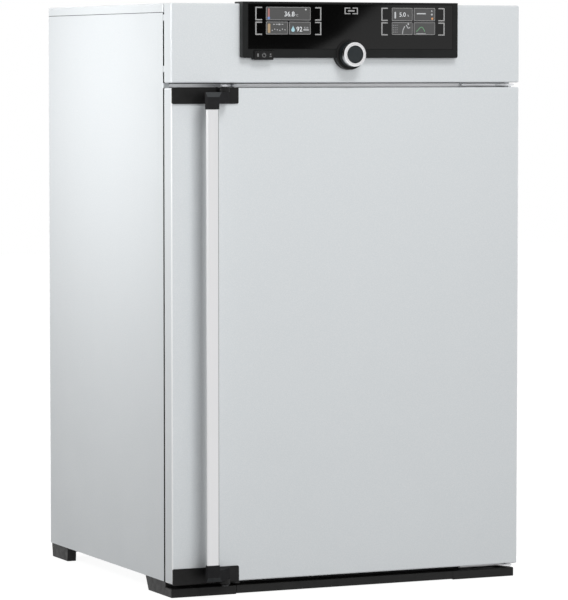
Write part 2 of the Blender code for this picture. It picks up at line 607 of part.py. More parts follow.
def fan(body):
    """Air circulation: hood, motor behind the insulation, and the wheel on its long shaft."""
    hood_low, hood_high = FAN_Z - COVER_WIDTH / 2, FAN_Z + COVER_WIDTH / 2
    front = CHAMBER_REAR - GAP - COVER_DEPTH
    hood = add_piece("fan_cover", tray((-COVER_WIDTH / 2, front, hood_low),
                                       (COVER_WIDTH / 2, CHAMBER_REAR - GAP, hood_high), SHEET, "+Y"),
                     "polished_steel")
    for number in range(10):
        angle = math.tau * number / 10
        slot = block((0.016, front - 0.01, -0.005), (0.050, front + 0.01, 0.005))
        turn = Matrix.Translation((0, 0, FAN_Z)) @ Matrix.Rotation(angle, 4, "Y")
        bmesh.ops.transform(slot, matrix=turn, verts=slot.verts[:])
        combine(hood, slot, "DIFFERENCE")
    for side in (-1, 1):
        edge = side * COVER_WIDTH / 2
        combine(hood, block((min(edge, edge - side * 0.01) - 0.002, front + 0.008, FAN_Z - 0.08),
                            (max(edge, edge - side * 0.01) + 0.002, front + 0.022, FAN_Z + 0.08)),
                "DIFFERENCE")

    motor_y = CHAMBER_REAR + SHEET + INSULATION_REAR + GAP
    add_piece("fan_motor", turned(
        [(FAN_SHAFT_R + GAP, 0), (MOTOR_R + 0.012, 0), (MOTOR_R + 0.012, 0.003), (MOTOR_R, 0.003),
         (MOTOR_R, MOTOR_LENGTH - 0.004), (MOTOR_R - 0.004, MOTOR_LENGTH),
         (FAN_SHAFT_R + GAP, MOTOR_LENGTH)], Vector((0, motor_y, FAN_Z)), steps=32),
        "plain_steel", smooth=True)

    wheel_front = FAN_AXIS.y - 0.022
    shaft_end = motor_y + MOTOR_LENGTH - 0.004
    wheel = add_piece("fan_rotor", turned(
        [(0, 0), (0.010, 0), (0.012, 0.002), (0.012, FAN_BLADE_DEPTH - 0.0015),
         (FAN_R, FAN_BLADE_DEPTH - 0.0015), (FAN_R, FAN_BLADE_DEPTH), (FAN_SHAFT_R, FAN_BLADE_DEPTH),
         (FAN_SHAFT_R, shaft_end - wheel_front), (0, shaft_end - wheel_front)],
        Vector((0, wheel_front, FAN_Z)), steps=32), "white_metal", body, smooth=True)
    for number in range(FAN_BLADES):
        blade = fan_blade(wheel_front)
        turn = (Matrix.Translation((0, 0, FAN_Z)) @ Matrix.Rotation(math.tau * number / FAN_BLADES, 4, "Y"))
        bmesh.ops.transform(blade, matrix=turn, verts=blade.verts[:])
        combine(wheel, blade, "UNION")


def fan_blade(wheel_front):
    """One backward-curved blade, standing on the wheel's disc."""
    thickness, bend = 0.0012, 0.35
    outer = []
    for step in range(5):
        share = step / 4
        radius = 0.018 + (FAN_R - 0.002 - 0.018) * share
        angle = bend * share ** 1.5
        outer.append((radius * math.cos(angle), radius * math.sin(angle)))
    inner = [(x - thickness * math.sin(bend), z + thickness) for x, z in reversed(outer)]
    return prism(outer + inner, "Y", wheel_front + 0.001, wheel_front + FAN_BLADE_DEPTH - 0.001)


def services():
    """Pieces of the rear compartment and the sensor in the chamber."""
    wool_rear = CHAMBER_REAR + SHEET + INSULATION_REAR
    wall = PROBE_REACH + SHEET + INSULATION_REAR
    add_piece("sensor_probe", turned(
        [(0, 0), (PROBE_R - 0.002, 0), (PROBE_R, 0.002), (PROBE_R, wall), (PROBE_R + 0.006, wall + GAP),
         (PROBE_R + 0.006, wall + PROBE_HEAD), (0, wall + PROBE_HEAD)],
        PROBE - Vector((0, PROBE_REACH, 0)), steps=20), "white_metal", smooth=True)
    add_piece("gas_inlet", turned(
        [(0, -0.013), (GAS_R + 0.004, -0.013), (GAS_R + 0.004, -SHEET - GAP), (GAS_R, -SHEET - GAP),
         (GAS_R, 0), (0, 0)], Vector((GAS_X, REAR_Y, GAS_Z)), steps=20), "brass", smooth=True)
    add_piece("gas_valve", turned(
        [(0, 0), (0.010, 0), (0.010, 0.020), (0.006, 0.020),
         (0.006, REAR_Y - 0.013 - GAP - wool_rear - GAP), (0, REAR_Y - 0.013 - GAP - wool_rear - GAP)],
        Vector((GAS_X, wool_rear + GAP, GAS_Z)), steps=16), "brass", smooth=True)
    mains_y = REAR_Y - 0.022
    mains = add_piece("mains_inlet", block(
        (MAINS_X - MAINS_WIDTH / 2, mains_y, MAINS_Z - MAINS_HEIGHT / 2),
        (MAINS_X + MAINS_WIDTH / 2, REAR_Y, MAINS_Z + MAINS_HEIGHT / 2)), "black_plastic")
    combine(mains, prism(rounded(MAINS_X - 0.012, MAINS_X + 0.012, MAINS_Z - 0.008, MAINS_Z + 0.008,
                                 0.003), "Y", REAR_Y - 0.014, REAR_Y + 0.01), "DIFFERENCE")
    for x, z in ((-0.007, 0), (0, 0.004), (0.007, 0)):
        combine(mains, block((MAINS_X + x - 0.001, REAR_Y - 0.016, MAINS_Z + z - 0.002),
                             (MAINS_X + x + 0.001, REAR_Y - 0.006, MAINS_Z + z + 0.002)), "UNION")
    low = INSULATION_TOP + GAP
    front, rear = CASE_FRONT + SUPPLY_LOW[1], CASE_FRONT + SUPPLY_HIGH[1]
    supply = add_piece("power_supply", block((SUPPLY_LOW[0], front, low),
                                             (SUPPLY_HIGH[0], rear, low + SUPPLY_HEIGHT)), "plain_steel")
    for number in range(8):
        x = SUPPLY_LOW[0] + 0.012 + number * 0.018
        combine(supply, block((x, front + 0.02, low + SUPPLY_HEIGHT - 0.010),
                              (x + 0.008, rear - 0.02, low + SUPPLY_HEIGHT + 0.010)), "DIFFERENCE")


def base():
    """Four feet, the front plinth between them and the cross-bar between the rear ones."""
    front = depth(FOOT_SETBACK)
    outer = HALF - FOOT_INSET
    step = CASE_FRONT - GAP
    top = CASE_BOTTOM - GAP
    profile = [(front, 0), (front + FRONT_FOOT_DEPTH - FOOT_SLANT, 0), (front + FRONT_FOOT_DEPTH, top),
               (step, top), (step, PLINTH_HEIGHT), (front, PLINTH_HEIGHT)]
    for name, side in (("foot_front_left", -1), ("foot_front_right", 1)):
        ends = sorted((side * outer, side * (outer - FRONT_FOOT_WIDTH)))
        add_piece(name, prism(profile, "X", *ends), "black_plastic")
    rear = REAR_Y + 0.0005
    profile = [(rear - REAR_FOOT_DEPTH + 0.003, 0), (rear - 0.0055, 0), (rear - 0.0005, top),
               (rear - REAR_FOOT_DEPTH, top)]
    for name, side in (("foot_rear_left", -1), ("foot_rear_right", 1)):
        ends = sorted((side * outer, side * (outer - REAR_FOOT_WIDTH)))
        add_piece(name, prism(profile, "X", *ends), "black_plastic")
    inner = outer - FRONT_FOOT_WIDTH - 0.0008
    plinth = add_piece("front_plinth", tray((-inner, front, 0.0015), (inner, step + PLINTH_WALL, PLINTH_HEIGHT),
                                            PLINTH_WALL, "+Y"), "black_plastic")
    combine(plinth, block((-inner, step, PLINTH_HEIGHT - PLINTH_WALL / 2), (inner, step + PLINTH_WALL, top)),
            "UNION")
    inner = outer - REAR_FOOT_WIDTH - GAP
    add_piece("rear_crossbar", block((-inner, rear - 0.040, CROSSBAR_CLEARANCE),
                                     (inner, rear - 0.040 + CROSSBAR_DEPTH, top)), "black_plastic")


def hinge_plate(name, low_z, pin_end, seat):
    """Triangular hinge plate with its fixing flange and the pin that the door turns on."""
    x, y = DOOR_PIVOT.x, DOOR_PIVOT.y
    left = x + KNUCKLE_R - HINGE_LENGTH
    straight = seat - 0.009
    outline = [(left, seat), (left, straight), (left + 0.078, straight)]
    for step in range(7):
        angle = math.radians(215 + 145 * step / 6)
        outline.append((x + KNUCKLE_R * math.cos(angle), y + KNUCKLE_R * math.sin(angle)))
    outline.append((x + KNUCKLE_R, seat))
    plate = add_piece(name, prism(outline, "Z", low_z, low_z + HINGE_PLATE), "plain_steel")
    combine(plate, block((left, seat - 0.003, low_z - 0.002), (x + KNUCKLE_R, seat,
                                                               low_z + HINGE_PLATE + 0.002)), "UNION")
    start, end = sorted((low_z + HINGE_PLATE / 2, pin_end))
    combine(plate, turned([(0, 0), (HINGE_PIN_R, 0), (HINGE_PIN_R, end - start), (0, end - start)],
                          Vector((x, y, start)), "Z", 16), "UNION")


def door_hinges():
    """Upper and lower plates, one on the front frame and one on the right front foot."""
    middle = (DOOR_TOP + HEADER_BOTTOM - HINGE_PLATE) / 2
    hinge_plate("hinge_plate_upper", middle, DOOR_TOP - HINGE_PIN_REACH, CASE_FRONT - GAP)
    middle = (DOOR_BOTTOM + PLINTH_HEIGHT - HINGE_PLATE) / 2
    hinge_plate("hinge_plate_lower", middle, DOOR_BOTTOM + HINGE_PIN_REACH, CASE_FRONT - 2 * GAP)


def door(body):
    """Outer door: pressed skin, wool, inner sheet, gasket and the bushes of its hinge."""
    rear = depth(FRONT_THICKNESS)
    reach = DOOR_TOP + DOOR_BOTTOM
    hole = [(0, 0), (HINGE_PIN_R + GAP, 0), (HINGE_PIN_R + GAP, reach), (0, reach)]
    axis = Vector((DOOR_PIVOT.x, DOOR_PIVOT.y, 0))
    skin = add_piece("door_outer_skin", tray((-HALF, FRONT_Y, DOOR_BOTTOM), (HALF, rear, DOOR_TOP),
                                             SHEET, "+Y"), "embossed_steel", body)
    combine(skin, turned(hole, axis, "Z", 16), "DIFFERENCE")
    inner = HALF - SHEET - GAP
    low, high = DOOR_BOTTOM + SHEET + GAP, DOOR_TOP - SHEET - GAP
    wool = add_piece("door_insulation", block((-inner, FRONT_Y + SHEET + GAP, low),
                                              (inner, rear - SHEET - GAP, high)), "mineral_wool", body)
    add_piece("door_liner", prism(rectangle(-inner, inner, low, high), "Y", rear - SHEET, rear),
              "polished_steel", body)
    side = GASKET_INSIDE + GASKET_WIDTH
    add_piece("door_gasket", prism(
        rounded(-side, side, CHAMBER_FLOOR - GASKET_DROP - GASKET_WIDTH,
                CHAMBER_TOP + GASKET_DROP + GASKET_WIDTH, 0.02), "Y", rear + GAP, CASE_FRONT - GAP,
        [rounded(-GASKET_INSIDE, GASKET_INSIDE, CHAMBER_FLOOR - GASKET_DROP,
                 CHAMBER_TOP + GASKET_DROP, 0.010)]), "silicone", body)
    for name, start in (("door_bush_upper", high - BUSH_LENGTH), ("door_bush_lower", low)):
        add_piece(name, turned([(HINGE_PIN_R + GAP, 0), (BUSH_R, 0), (BUSH_R, BUSH_LENGTH),
                                (HINGE_PIN_R + GAP, BUSH_LENGTH)], axis + Vector((0, 0, start)), "Z", 16),
                  "brass", body, smooth=True)
        pocket = BUSH_R + GAP
        combine(wool, turned([(0, -0.002), (pocket, -0.002), (pocket, BUSH_LENGTH + 0.002),
                              (0, BUSH_LENGTH + 0.002)], axis + Vector((0, 0, start)), "Z", 16),
                "DIFFERENCE")


def handle_levels(up):
    """Heights of one end of the handle: bracket edge, ear, arm and lever, counted outwards."""
    edge = DOOR_TOP + BRACKET_OVERHANG if up > 0 else DOOR_BOTTOM - BRACKET_OVERHANG
    return {"edge": edge, "bracket": edge - up * BRACKET_HEIGHT,
            "ear": edge - up * (ARM_DROP - ARM_CHAMFER - GAP),
            "arm": edge - up * (ARM_DROP - ARM_CHAMFER), "face": edge - up * ARM_DROP,
            "link": edge - up * (BRACKET_HEIGHT - 0.0005), "end": edge - up * (ARM_DROP + ARM_HEIGHT),
            "lever": edge + up * LEVER_CLEARANCE,
            "lever_end": edge + up * (LEVER_CLEARANCE + LEVER_THICKNESS)}


def handle_bracket(name, up, body):
    """Moulded bracket on the corner of the door, with the ear that carries the handle's pin."""
    level = handle_levels(up)
    front = FRONT_Y - GAP - BRACKET_THICKNESS
    low, high = sorted((level["edge"], level["bracket"]))
    piece = add_piece(name, prism(rounded(-HALF, -HALF + BRACKET_WIDTH, low, high, 0.003),
                                  "Y", front, FRONT_Y - GAP), "black_plastic", body)
    x, y = HANDLE_PIVOT.x, HANDLE_PIVOT.y
    ear = [(x + BOSS_R * math.cos(math.radians(a)), y + BOSS_R * math.sin(math.radians(a)))
           for a in range(180, 361, 20)]
    ear += [(x + BOSS_R, front + BRACKET_THICKNESS / 2), (x - BOSS_R, front + BRACKET_THICKNESS / 2)]
    hole = circle(x, y, HANDLE_PIN_R + GAP, 16)
    start, end = sorted((level["edge"] - up * GAP, level["ear"]))
    combine(piece, prism(ear, "Z", start, end, [hole]), "UNION")


def handle_arm(name, up, body):
    """Arm from the hinge pin to the bar's cap, whose outer edge is cut at a slant."""
    level = handle_levels(up)
    x, y = HANDLE_PIVOT.x, HANDLE_PIVOT.y
    bar_left = BAR_CENTRE_FROM_EDGE - HALF - BAR_WIDTH / 2
    front = depth(-HANDLE_REACH)
    corners = [(bar_left, front), (bar_left + BAR_WIDTH, front),
               (bar_left, front + BAR_THICKNESS + 0.003)]
    points = corners + circle(x, y, HUB_R, 20)
    outline = [points[index] for index in convex_hull_2d(points)]
    start, end = sorted((level["arm"], level["end"]))
    arm = add_piece(name, prism(outline, "Z", start, end), "black_plastic", body)
    blind = level["link"] + up * 0.004
    low, high = sorted((blind, level["arm"] + up * 0.01))
    combine(arm, turned([(0, 0), (HANDLE_PIN_R + GAP, 0), (HANDLE_PIN_R + GAP, high - low),
                         (0, high - low)], Vector((x, y, low)), "Z", 16), "DIFFERENCE")
    slope = ARM_CHAMFER / ARM_SLANT_DEPTH
    over = 0.002
    slant = prism([(front - over, level["face"] - up * over * slope),
                   (front + ARM_SLANT_DEPTH + over, level["arm"] + up * over * slope),
                   (front - over, level["arm"] + up * over * slope)],
                  "X", bar_left - 0.01, bar_left + BAR_WIDTH + 0.03)
    combine(arm, slant, "DIFFERENCE")
    right, back = bar_left + BAR_WIDTH - 0.0003, front + BAR_THICKNESS + 0.002
    start, end = sorted((level["link"], level["end"] - up * 0.01))
    below = [(right, front - 0.01), (x + 0.03, front - 0.01), (x + 0.03, y + 0.03),
             (bar_left - 0.01, y + 0.03), (bar_left - 0.01, back), (right, back)]
    combine(arm, prism(below, "Z", start, end), "DIFFERENCE")


def latch_lever(name, up, body):
    """Steel pin of the handle with the lever that closes on the strike in the gap."""
    level = handle_levels(up)
    x, y = HANDLE_PIVOT.x, HANDLE_PIVOT.y
    points = circle(x, y, LEVER_WIDTH * 0.7, 20)
    points += circle(x + LEVER_REACH_X, y + LEVER_REACH_Y, LEVER_WIDTH / 2, 16)
    outline = [points[index] for index in convex_hull_2d(points)]
    start, end = sorted((level["lever"], level["lever_end"]))
    lever = add_piece(name, prism(outline, "Z", start, end), "polished_steel", body)
    low, high = sorted((level["link"] + up * 0.0045, level["lever"] + up * LEVER_THICKNESS / 2))
    combine(lever, turned([(0, 0), (HANDLE_PIN_R, 0), (HANDLE_PIN_R, high - low), (0, high - low)],
                          Vector((x, y, low)), "Z", 16), "UNION")


def strike(name, up, seat):
    """Strike on the casing that the lever's nose closes against."""
    level = handle_levels(up)
    left = HANDLE_PIVOT.x + LEVER_REACH_X + LEVER_WIDTH / 2 + STRIKE_CLEARANCE
    low, high = sorted((level["lever"], level["lever_end"]))
    nose = HANDLE_PIVOT.y + LEVER_REACH_Y - LEVER_WIDTH
    outline = [(left, seat), (left, nose + 0.004), (left + 0.004, nose), (left + STRIKE_WIDTH, nose),
               (left + STRIKE_WIDTH, seat)]
    piece = add_piece(name, prism(outline, "Z", low, high), "plain_steel")
    combine(piece, block((left, seat - 0.0025, low - 0.0012),
                         (left + STRIKE_WIDTH, seat, high + 0.0012)), "UNION")


def handle(door_body, body):
    """Bar handle on two arms, with a latch lever at the top and at the bottom of the door."""
    for end, up in (("upper", 1), ("lower", -1)):
        handle_bracket("handle_bracket_" + end, up, door_body)
        handle_arm("handle_arm_" + end, up, body)
        latch_lever("latch_lever_" + end, up, body)
    strike("strike_upper", 1, CASE_FRONT - GAP)
    strike("strike_lower", -1, CASE_FRONT - 2 * GAP)
    left = BAR_CENTRE_FROM_EDGE - HALF - BAR_WIDTH / 2
    front = depth(-HANDLE_REACH) + 0.0005
    add_piece("handle_bar", prism(rounded(left, left + BAR_WIDTH, front, front + BAR_THICKNESS, 0.0015, 2),
                                  "Z", handle_levels(-1)["end"] + GAP, handle_levels(1)["end"] - GAP),
              "embossed_steel", body)


def inner_door(body, latch_body):
    """Frameless glass door on two clamp hinges, with a turn latch at its left edge."""
    half = CHAMBER_WIDTH / 2 + INNER_OVERLAP
    low, high = CHAMBER_FLOOR - INNER_OVERLAP, CHAMBER_TOP + INNER_OVERLAP
    rear = MOUTH_Y - SEAL_THICKNESS - 2 * GAP
    front = rear - INNER_GLASS
    latch_x = -half + LATCH_INSET
    add_piece("inner_glass_door", prism(rounded(-half, half, low, high, 0.010), "Y", front, rear,
                                        [circle(latch_x, LATCH_Z, LATCH_SPINDLE_R + GAP, 16)]),
              "clear_glass", body)
    x, y = INNER_PIVOT.x, INNER_PIVOT.y
    for end, height in (("upper", high - 0.085), ("lower", low + 0.060)):
        clamp = add_piece("inner_hinge_clamp_" + end, prism(
            rounded(half - 0.030, half + 0.001, height, height + CLAMP_HEIGHT, 0.003), "Y",
            front - GAP - 0.0022, front - GAP), "polished_steel", body)
        combine(clamp, prism([(x + KNUCKLE_INNER * math.cos(math.radians(a)),
                               y + KNUCKLE_INNER * math.sin(math.radians(a)))
                              for a in range(180, 361, 20)] +
                             [(x + KNUCKLE_INNER, front - GAP - 0.0005),
                              (x - KNUCKLE_INNER - 0.004, front - GAP - 0.0005)], "Z",
                             height, height + CLAMP_HEIGHT, [circle(x, y, INNER_PIN_R + GAP, 16)]), "UNION")
        post = add_piece("inner_hinge_post_" + end, prism(
            rectangle(x - 0.005, x + POST_REACH, height - 0.0035, height - GAP), "Y",
            CASE_FRONT - GAP - 0.0022, y + 0.004), "polished_steel")
        window_edge = half + FRAME_MARGIN
        combine(post, block((window_edge - GAP * 2, CASE_FRONT - GAP, height - 0.01),
                            (x + 0.05, y + 0.02, height + 0.01)), "DIFFERENCE")
        combine(post, block((window_edge + 0.001, CASE_FRONT - GAP - 0.0022, height - 0.0125),
                            (x + POST_REACH, CASE_FRONT - GAP, height + 0.0105)), "UNION")
        combine(post, turned([(0, 0), (INNER_PIN_R, 0), (INNER_PIN_R, CLAMP_HEIGHT - 0.002),
                              (0, CLAMP_HEIGHT - 0.002)], Vector((x, y, height - 0.002)), "Z", 16), "UNION")

    knob_front = front - GAP - LATCH_DEPTH
    spindle_end = rear - GAP - knob_front
    latch = add_piece("inner_latch", turned(
        [(0, 0), (LATCH_R - 0.0015, 0), (LATCH_R, 0.0015), (LATCH_R, LATCH_DEPTH),
         (LATCH_SPINDLE_R, LATCH_DEPTH), (LATCH_SPINDLE_R, spindle_end), (0, spindle_end)],
        Vector((latch_x, knob_front, LATCH_Z)), steps=24), "black_plastic", latch_body, smooth=True)
    combine(latch, prism(rounded(latch_x - 0.005, latch_x + 0.005, LATCH_Z, LATCH_Z + LATCH_REACH, 0.004),
                         "Y", knob_front + LATCH_DEPTH - 0.003, knob_front + LATCH_DEPTH), "UNION")


def knob(push_body, turn_body):
    """Turn-and-press control: steel spindle, black knob and the chrome ring round its cap."""
    front = GLASS_FRONT_Y - KNOB_PROUD
    body_end = KNOB_PROUD - KNOB_BASE_RISE - GAP - KNOB_TRAVEL - 0.0005
    ring_end = KNOB_RING_DEPTH
    bore, bore_start = SPINDLE_R + GAP, 0.008
    place = Vector((KNOB_X, front, KNOB_Z))
    add_piece("knob_body", turned(
        [(0, 0.0018), (KNOB_CAP_R - 0.003, 0.0018), (KNOB_CAP_R - GAP, 0.0030),
         (KNOB_CAP_R - GAP, ring_end + GAP), (KNOB_R - 0.001, ring_end + GAP),
         (KNOB_R + 0.0015, body_end), (bore, body_end), (bore, bore_start), (0, bore_start)],
        place, steps=40), "anthracite_plastic", turn_body, smooth=True)
    add_piece("knob_ring", turned(
        [(KNOB_CAP_R, 0.0012), (KNOB_CAP_R + 0.0012, 0), (KNOB_R - 0.002, 0), (KNOB_R, 0.002),
         (KNOB_R, ring_end - 0.001), (KNOB_R - 0.001, ring_end), (KNOB_CAP_R, ring_end)],
        place, steps=40), "chrome_ring", turn_body, smooth=True)
    add_piece("knob_spindle", turned(
        [(0, bore_start + GAP), (SPINDLE_R, bore_start + GAP), (SPINDLE_R, SPINDLE_LENGTH),
         (SPINDLE_R + 0.004, SPINDLE_LENGTH), (SPINDLE_R + 0.004, SPINDLE_LENGTH + COLLAR_THICKNESS),
         (0, SPINDLE_LENGTH + COLLAR_THICKNESS)], place, steps=16), "plain_steel", push_body, smooth=True)


def power_key(body):
    """Sprung key in the notch of the cockpit's lower edge."""
    rear = FRONT_Y - 2 * GAP - KEY_TRAVEL
    add_piece("power_key", prism(rounded(KEY_LEFT, KEY_LEFT + KEY_WIDTH, KEY_BOTTOM, KEY_TOP, 0.002, 3),
                                 "Y", GLASS_FRONT_Y - KEY_PROUD, rear), "black_plastic", body)


casing()
header()
cockpit()
insulation()
chamber()
shelves()
services()
base()
door_hinges()

door_body = joint_empty("door_axis", DOOR_PIVOT)
handle_body = joint_empty("handle_axis", HANDLE_PIVOT, door_body)
inner_body = joint_empty("inner_door_axis", INNER_PIVOT)
latch_body = joint_empty("inner_latch_axis", LATCH_AXIS, inner_body)
push_body = joint_empty("knob_push_axis", KNOB_AXIS)
turn_body = joint_empty("knob_turn_axis", KNOB_AXIS, push_body)
key_body = joint_empty("power_key_axis", Vector((KEY_LEFT + KEY_WIDTH / 2, GLASS_FRONT_Y, KEY_TOP)))
fan_body = joint_empty("fan_axis", FAN_AXIS)

door(door_body)
handle(door_body, handle_body)
inner_door(inner_body, latch_body)
knob(push_body, turn_body)
power_key(key_body)
fan(fan_body)
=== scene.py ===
import math

import bmesh
import bpy
from mathutils import Matrix, Vector


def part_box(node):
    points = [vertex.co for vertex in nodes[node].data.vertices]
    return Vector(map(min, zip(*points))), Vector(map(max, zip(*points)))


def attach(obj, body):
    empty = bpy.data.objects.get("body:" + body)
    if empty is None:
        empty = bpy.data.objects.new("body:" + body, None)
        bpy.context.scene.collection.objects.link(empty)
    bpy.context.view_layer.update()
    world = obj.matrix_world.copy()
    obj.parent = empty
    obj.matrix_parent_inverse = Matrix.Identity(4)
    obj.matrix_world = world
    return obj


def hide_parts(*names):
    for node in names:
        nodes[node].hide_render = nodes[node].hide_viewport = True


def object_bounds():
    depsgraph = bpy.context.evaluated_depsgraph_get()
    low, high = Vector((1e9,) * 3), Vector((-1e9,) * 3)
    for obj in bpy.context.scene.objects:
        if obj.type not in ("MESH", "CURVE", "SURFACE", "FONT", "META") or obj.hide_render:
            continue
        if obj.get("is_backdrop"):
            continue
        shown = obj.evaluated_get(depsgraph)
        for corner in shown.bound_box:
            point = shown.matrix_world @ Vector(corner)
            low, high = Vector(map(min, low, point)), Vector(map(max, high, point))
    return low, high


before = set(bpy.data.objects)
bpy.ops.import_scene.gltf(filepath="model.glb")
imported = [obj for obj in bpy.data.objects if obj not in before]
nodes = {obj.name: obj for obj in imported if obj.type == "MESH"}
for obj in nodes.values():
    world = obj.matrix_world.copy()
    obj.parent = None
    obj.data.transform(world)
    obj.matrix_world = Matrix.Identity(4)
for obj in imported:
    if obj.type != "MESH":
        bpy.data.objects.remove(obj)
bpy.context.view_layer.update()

# Camera: it stands at the left front, a little below the cabinet's top, and looks slightly
# down. The long lens keeps the verticals of the casing nearly parallel, as in the photograph.
LOOK_DOWN, LOOK_RIGHT = 3.757, 24.291    # degrees
camera_data = bpy.data.cameras.new("camera")
camera_data.lens = 214.0
camera_data.clip_end = 60
camera = bpy.data.objects.new("camera", camera_data)
camera.location = (-3.0977, -6.8608, 1.0643)
camera.rotation_euler = (math.radians(90 - LOOK_DOWN), 0, math.radians(-LOOK_RIGHT))
bpy.context.scene.collection.objects.link(camera)
bpy.context.scene.camera = camera
bpy.context.scene.view_settings.view_transform = "Standard"

# Studio: a pale floor that stays white to the eye and keeps the cabinet's soft shadow, a pale
# surround, two large soft lamps in front, one small lamp close to the left side sheet, whose
# light falls off towards the floor, and weaker ones on the right and behind.
FLOOR_HALF = 12
FLOOR_GLOW = 0.93                  # beside the cabinet; 1 is white
FADE_START, FADE_END = 0.8, 2.6    # distances between which the floor turns white
SURROUND_LIGHT = 0.15              # what the surround lends to matt surfaces


def in_sight(tree):
    """1 on the camera's rays, also off a gloss or through glass, and 0 on all others."""
    path = tree.nodes.new("ShaderNodeLightPath")
    sight = path.outputs["Is Camera Ray"]
    for kind in ("Is Glossy Ray", "Is Transmission Ray"):
        either = tree.nodes.new("ShaderNodeMath")
        either.operation = "MAXIMUM"
        tree.links.new(sight, either.inputs[0])
        tree.links.new(path.outputs[kind], either.inputs[1])
        sight = either.outputs[0]
    return sight


floor_mesh = bpy.data.meshes.new("floor")
bm = bmesh.new()
bmesh.ops.create_grid(bm, x_segments=1, y_segments=1, size=FLOOR_HALF)
bm.to_mesh(floor_mesh)
bm.free()
floor = bpy.data.objects.new("floor", floor_mesh)
bpy.context.scene.collection.objects.link(floor)
floor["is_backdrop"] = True

floor_paint = bpy.data.materials.new("pale_floor")
floor_paint.use_nodes = True
tree = floor_paint.node_tree
tree.nodes.clear()
where = tree.nodes.new("ShaderNodeTexCoord")
far = tree.nodes.new("ShaderNodeVectorMath")
far.operation = "LENGTH"
tree.links.new(where.outputs["Object"], far.inputs[0])
fade = tree.nodes.new("ShaderNodeMapRange")
fade.inputs["From Min"].default_value = FADE_START
fade.inputs["From Max"].default_value = FADE_END
fade.inputs["To Min"].default_value = FLOOR_GLOW
fade.inputs["To Max"].default_value = 1.0
tree.links.new(far.outputs["Value"], fade.inputs["Value"])
share = tree.nodes.new("ShaderNodeMath")
share.operation = "MULTIPLY"
tree.links.new(in_sight(tree), share.inputs[0])
tree.links.new(fade.outputs["Result"], share.inputs[1])
lift = tree.nodes.new("ShaderNodeEmission")
tree.links.new(share.outputs[0], lift.inputs["Strength"])
matt = tree.nodes.new("ShaderNodeBsdfDiffuse")
matt.inputs["Color"].default_value = (0.16, 0.16, 0.16, 1)
both = tree.nodes.new("ShaderNodeAddShader")
tree.links.new(matt.outputs[0], both.inputs[0])
tree.links.new(lift.outputs[0], both.inputs[1])
sink = tree.nodes.new("ShaderNodeOutputMaterial")
tree.links.new(both.outputs[0], sink.inputs["Surface"])
floor_mesh.materials.append(floor_paint)

world = bpy.data.worlds.new("pale_surround")
world.use_nodes = True
bpy.context.scene.world = world
tree = world.node_tree
air = tree.nodes["Background"]
air.inputs["Color"].default_value = (1, 1, 1, 1)
level = tree.nodes.new("ShaderNodeMapRange")
level.inputs["To Min"].default_value = SURROUND_LIGHT
level.inputs["To Max"].default_value = 1.0
tree.links.new(in_sight(tree), level.inputs["Value"])
tree.links.new(level.outputs["Result"], air.inputs["Strength"])

for name, place, aim, size, spread, watts in (
        ("left_softbox", (-1.75, 0.12, 1.45), (-0.39, 0.03, 0.93), 0.6, 90, 7.0),
        ("front_softbox", (-0.3, -3.1, 1.22), (0.0, -0.3, 0.9), 1.4, 180, 44),
        ("front_top_softbox", (-0.1, -2.4, 3.0), (0.0, -0.3, 1.0), 1.0, 180, 42),
        ("right_fill", (2.4, 0.2, 1.9), (0.4, 0.0, 0.7), 1.2, 180, 45),
        ("rear_fill", (0.4, 2.9, 2.2), (0.0, 0.3, 0.7), 1.2, 180, 60)):
    lamp_data = bpy.data.lights.new(name, "AREA")
    lamp_data.shape = "SQUARE"
    lamp_data.size = size
    lamp_data.spread = math.radians(spread)
    lamp_data.energy = watts
    lamp = bpy.data.objects.new(name, lamp_data)
    lamp.location = place
    lamp.rotation_euler = (Vector(aim) - Vector(place)).to_track_quat("-Z", "Y").to_euler()
    lamp.visible_glossy = name == "left_softbox"
    bpy.context.scene.collection.objects.link(lamp)

# A dark card beside the lamps, which only shows as the slanting dark half in the cockpit glass.
card_mesh = bpy.data.meshes.new("dark_card")
bm = bmesh.new()
bm.faces.new([bm.verts.new(corner) for corner in (
    (0.90, -3.7, 1.07), (1.431, -3.7, 1.07), (1.898, -3.7, 1.40), (0.90, -3.7, 1.40))])
bm.to_mesh(card_mesh)
bm.free()
card = bpy.data.objects.new("dark_card", card_mesh)
bpy.context.scene.collection.objects.link(card)
card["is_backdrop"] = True
for sight in ("camera", "diffuse", "transmission", "volume_scatter", "shadow"):
    setattr(card, "visible_" + sight, False)
card_cloth = bpy.data.materials.new("dark_card_cloth")
card_cloth.use_nodes = True
card_shader = card_cloth.node_tree.nodes["Principled BSDF"]
card_shader.inputs["Base Color"].default_value = (0.002, 0.002, 0.002, 1)
card_mesh.materials.append(card_cloth)


# Feet, front plinth and rear cross-bar: fine-grained black mouldings that carry the casing.
# Each is the moulded solid itself with its edges eased by the radius that a mould tool leaves.
MERGE_DISTANCE = 0.00002
FLAT_ANGLE, EASED_ANGLE, SHARP_ANGLE = math.radians(0.5), math.radians(28), math.radians(35)


def eased(node, radius, body, material, segments=2):
    """A copy of a solid, merged, with its edges rounded, which takes the solid's place."""
    bm = bmesh.new()
    bm.from_mesh(nodes[node].data)
    bmesh.ops.remove_doubles(bm, verts=bm.verts[:], dist=MERGE_DISTANCE)
    bmesh.ops.dissolve_limit(bm, angle_limit=FLAT_ANGLE, verts=bm.verts[:], edges=bm.edges[:])
    if radius:
        edges = [edge for edge in bm.edges
                 if len(edge.link_faces) == 2 and edge.calc_face_angle(0) > EASED_ANGLE]
        round_edges(bm, edges, radius, segments)
    piece = placed(node + "_finished", bm, body, material)
    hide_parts(node)
    return piece


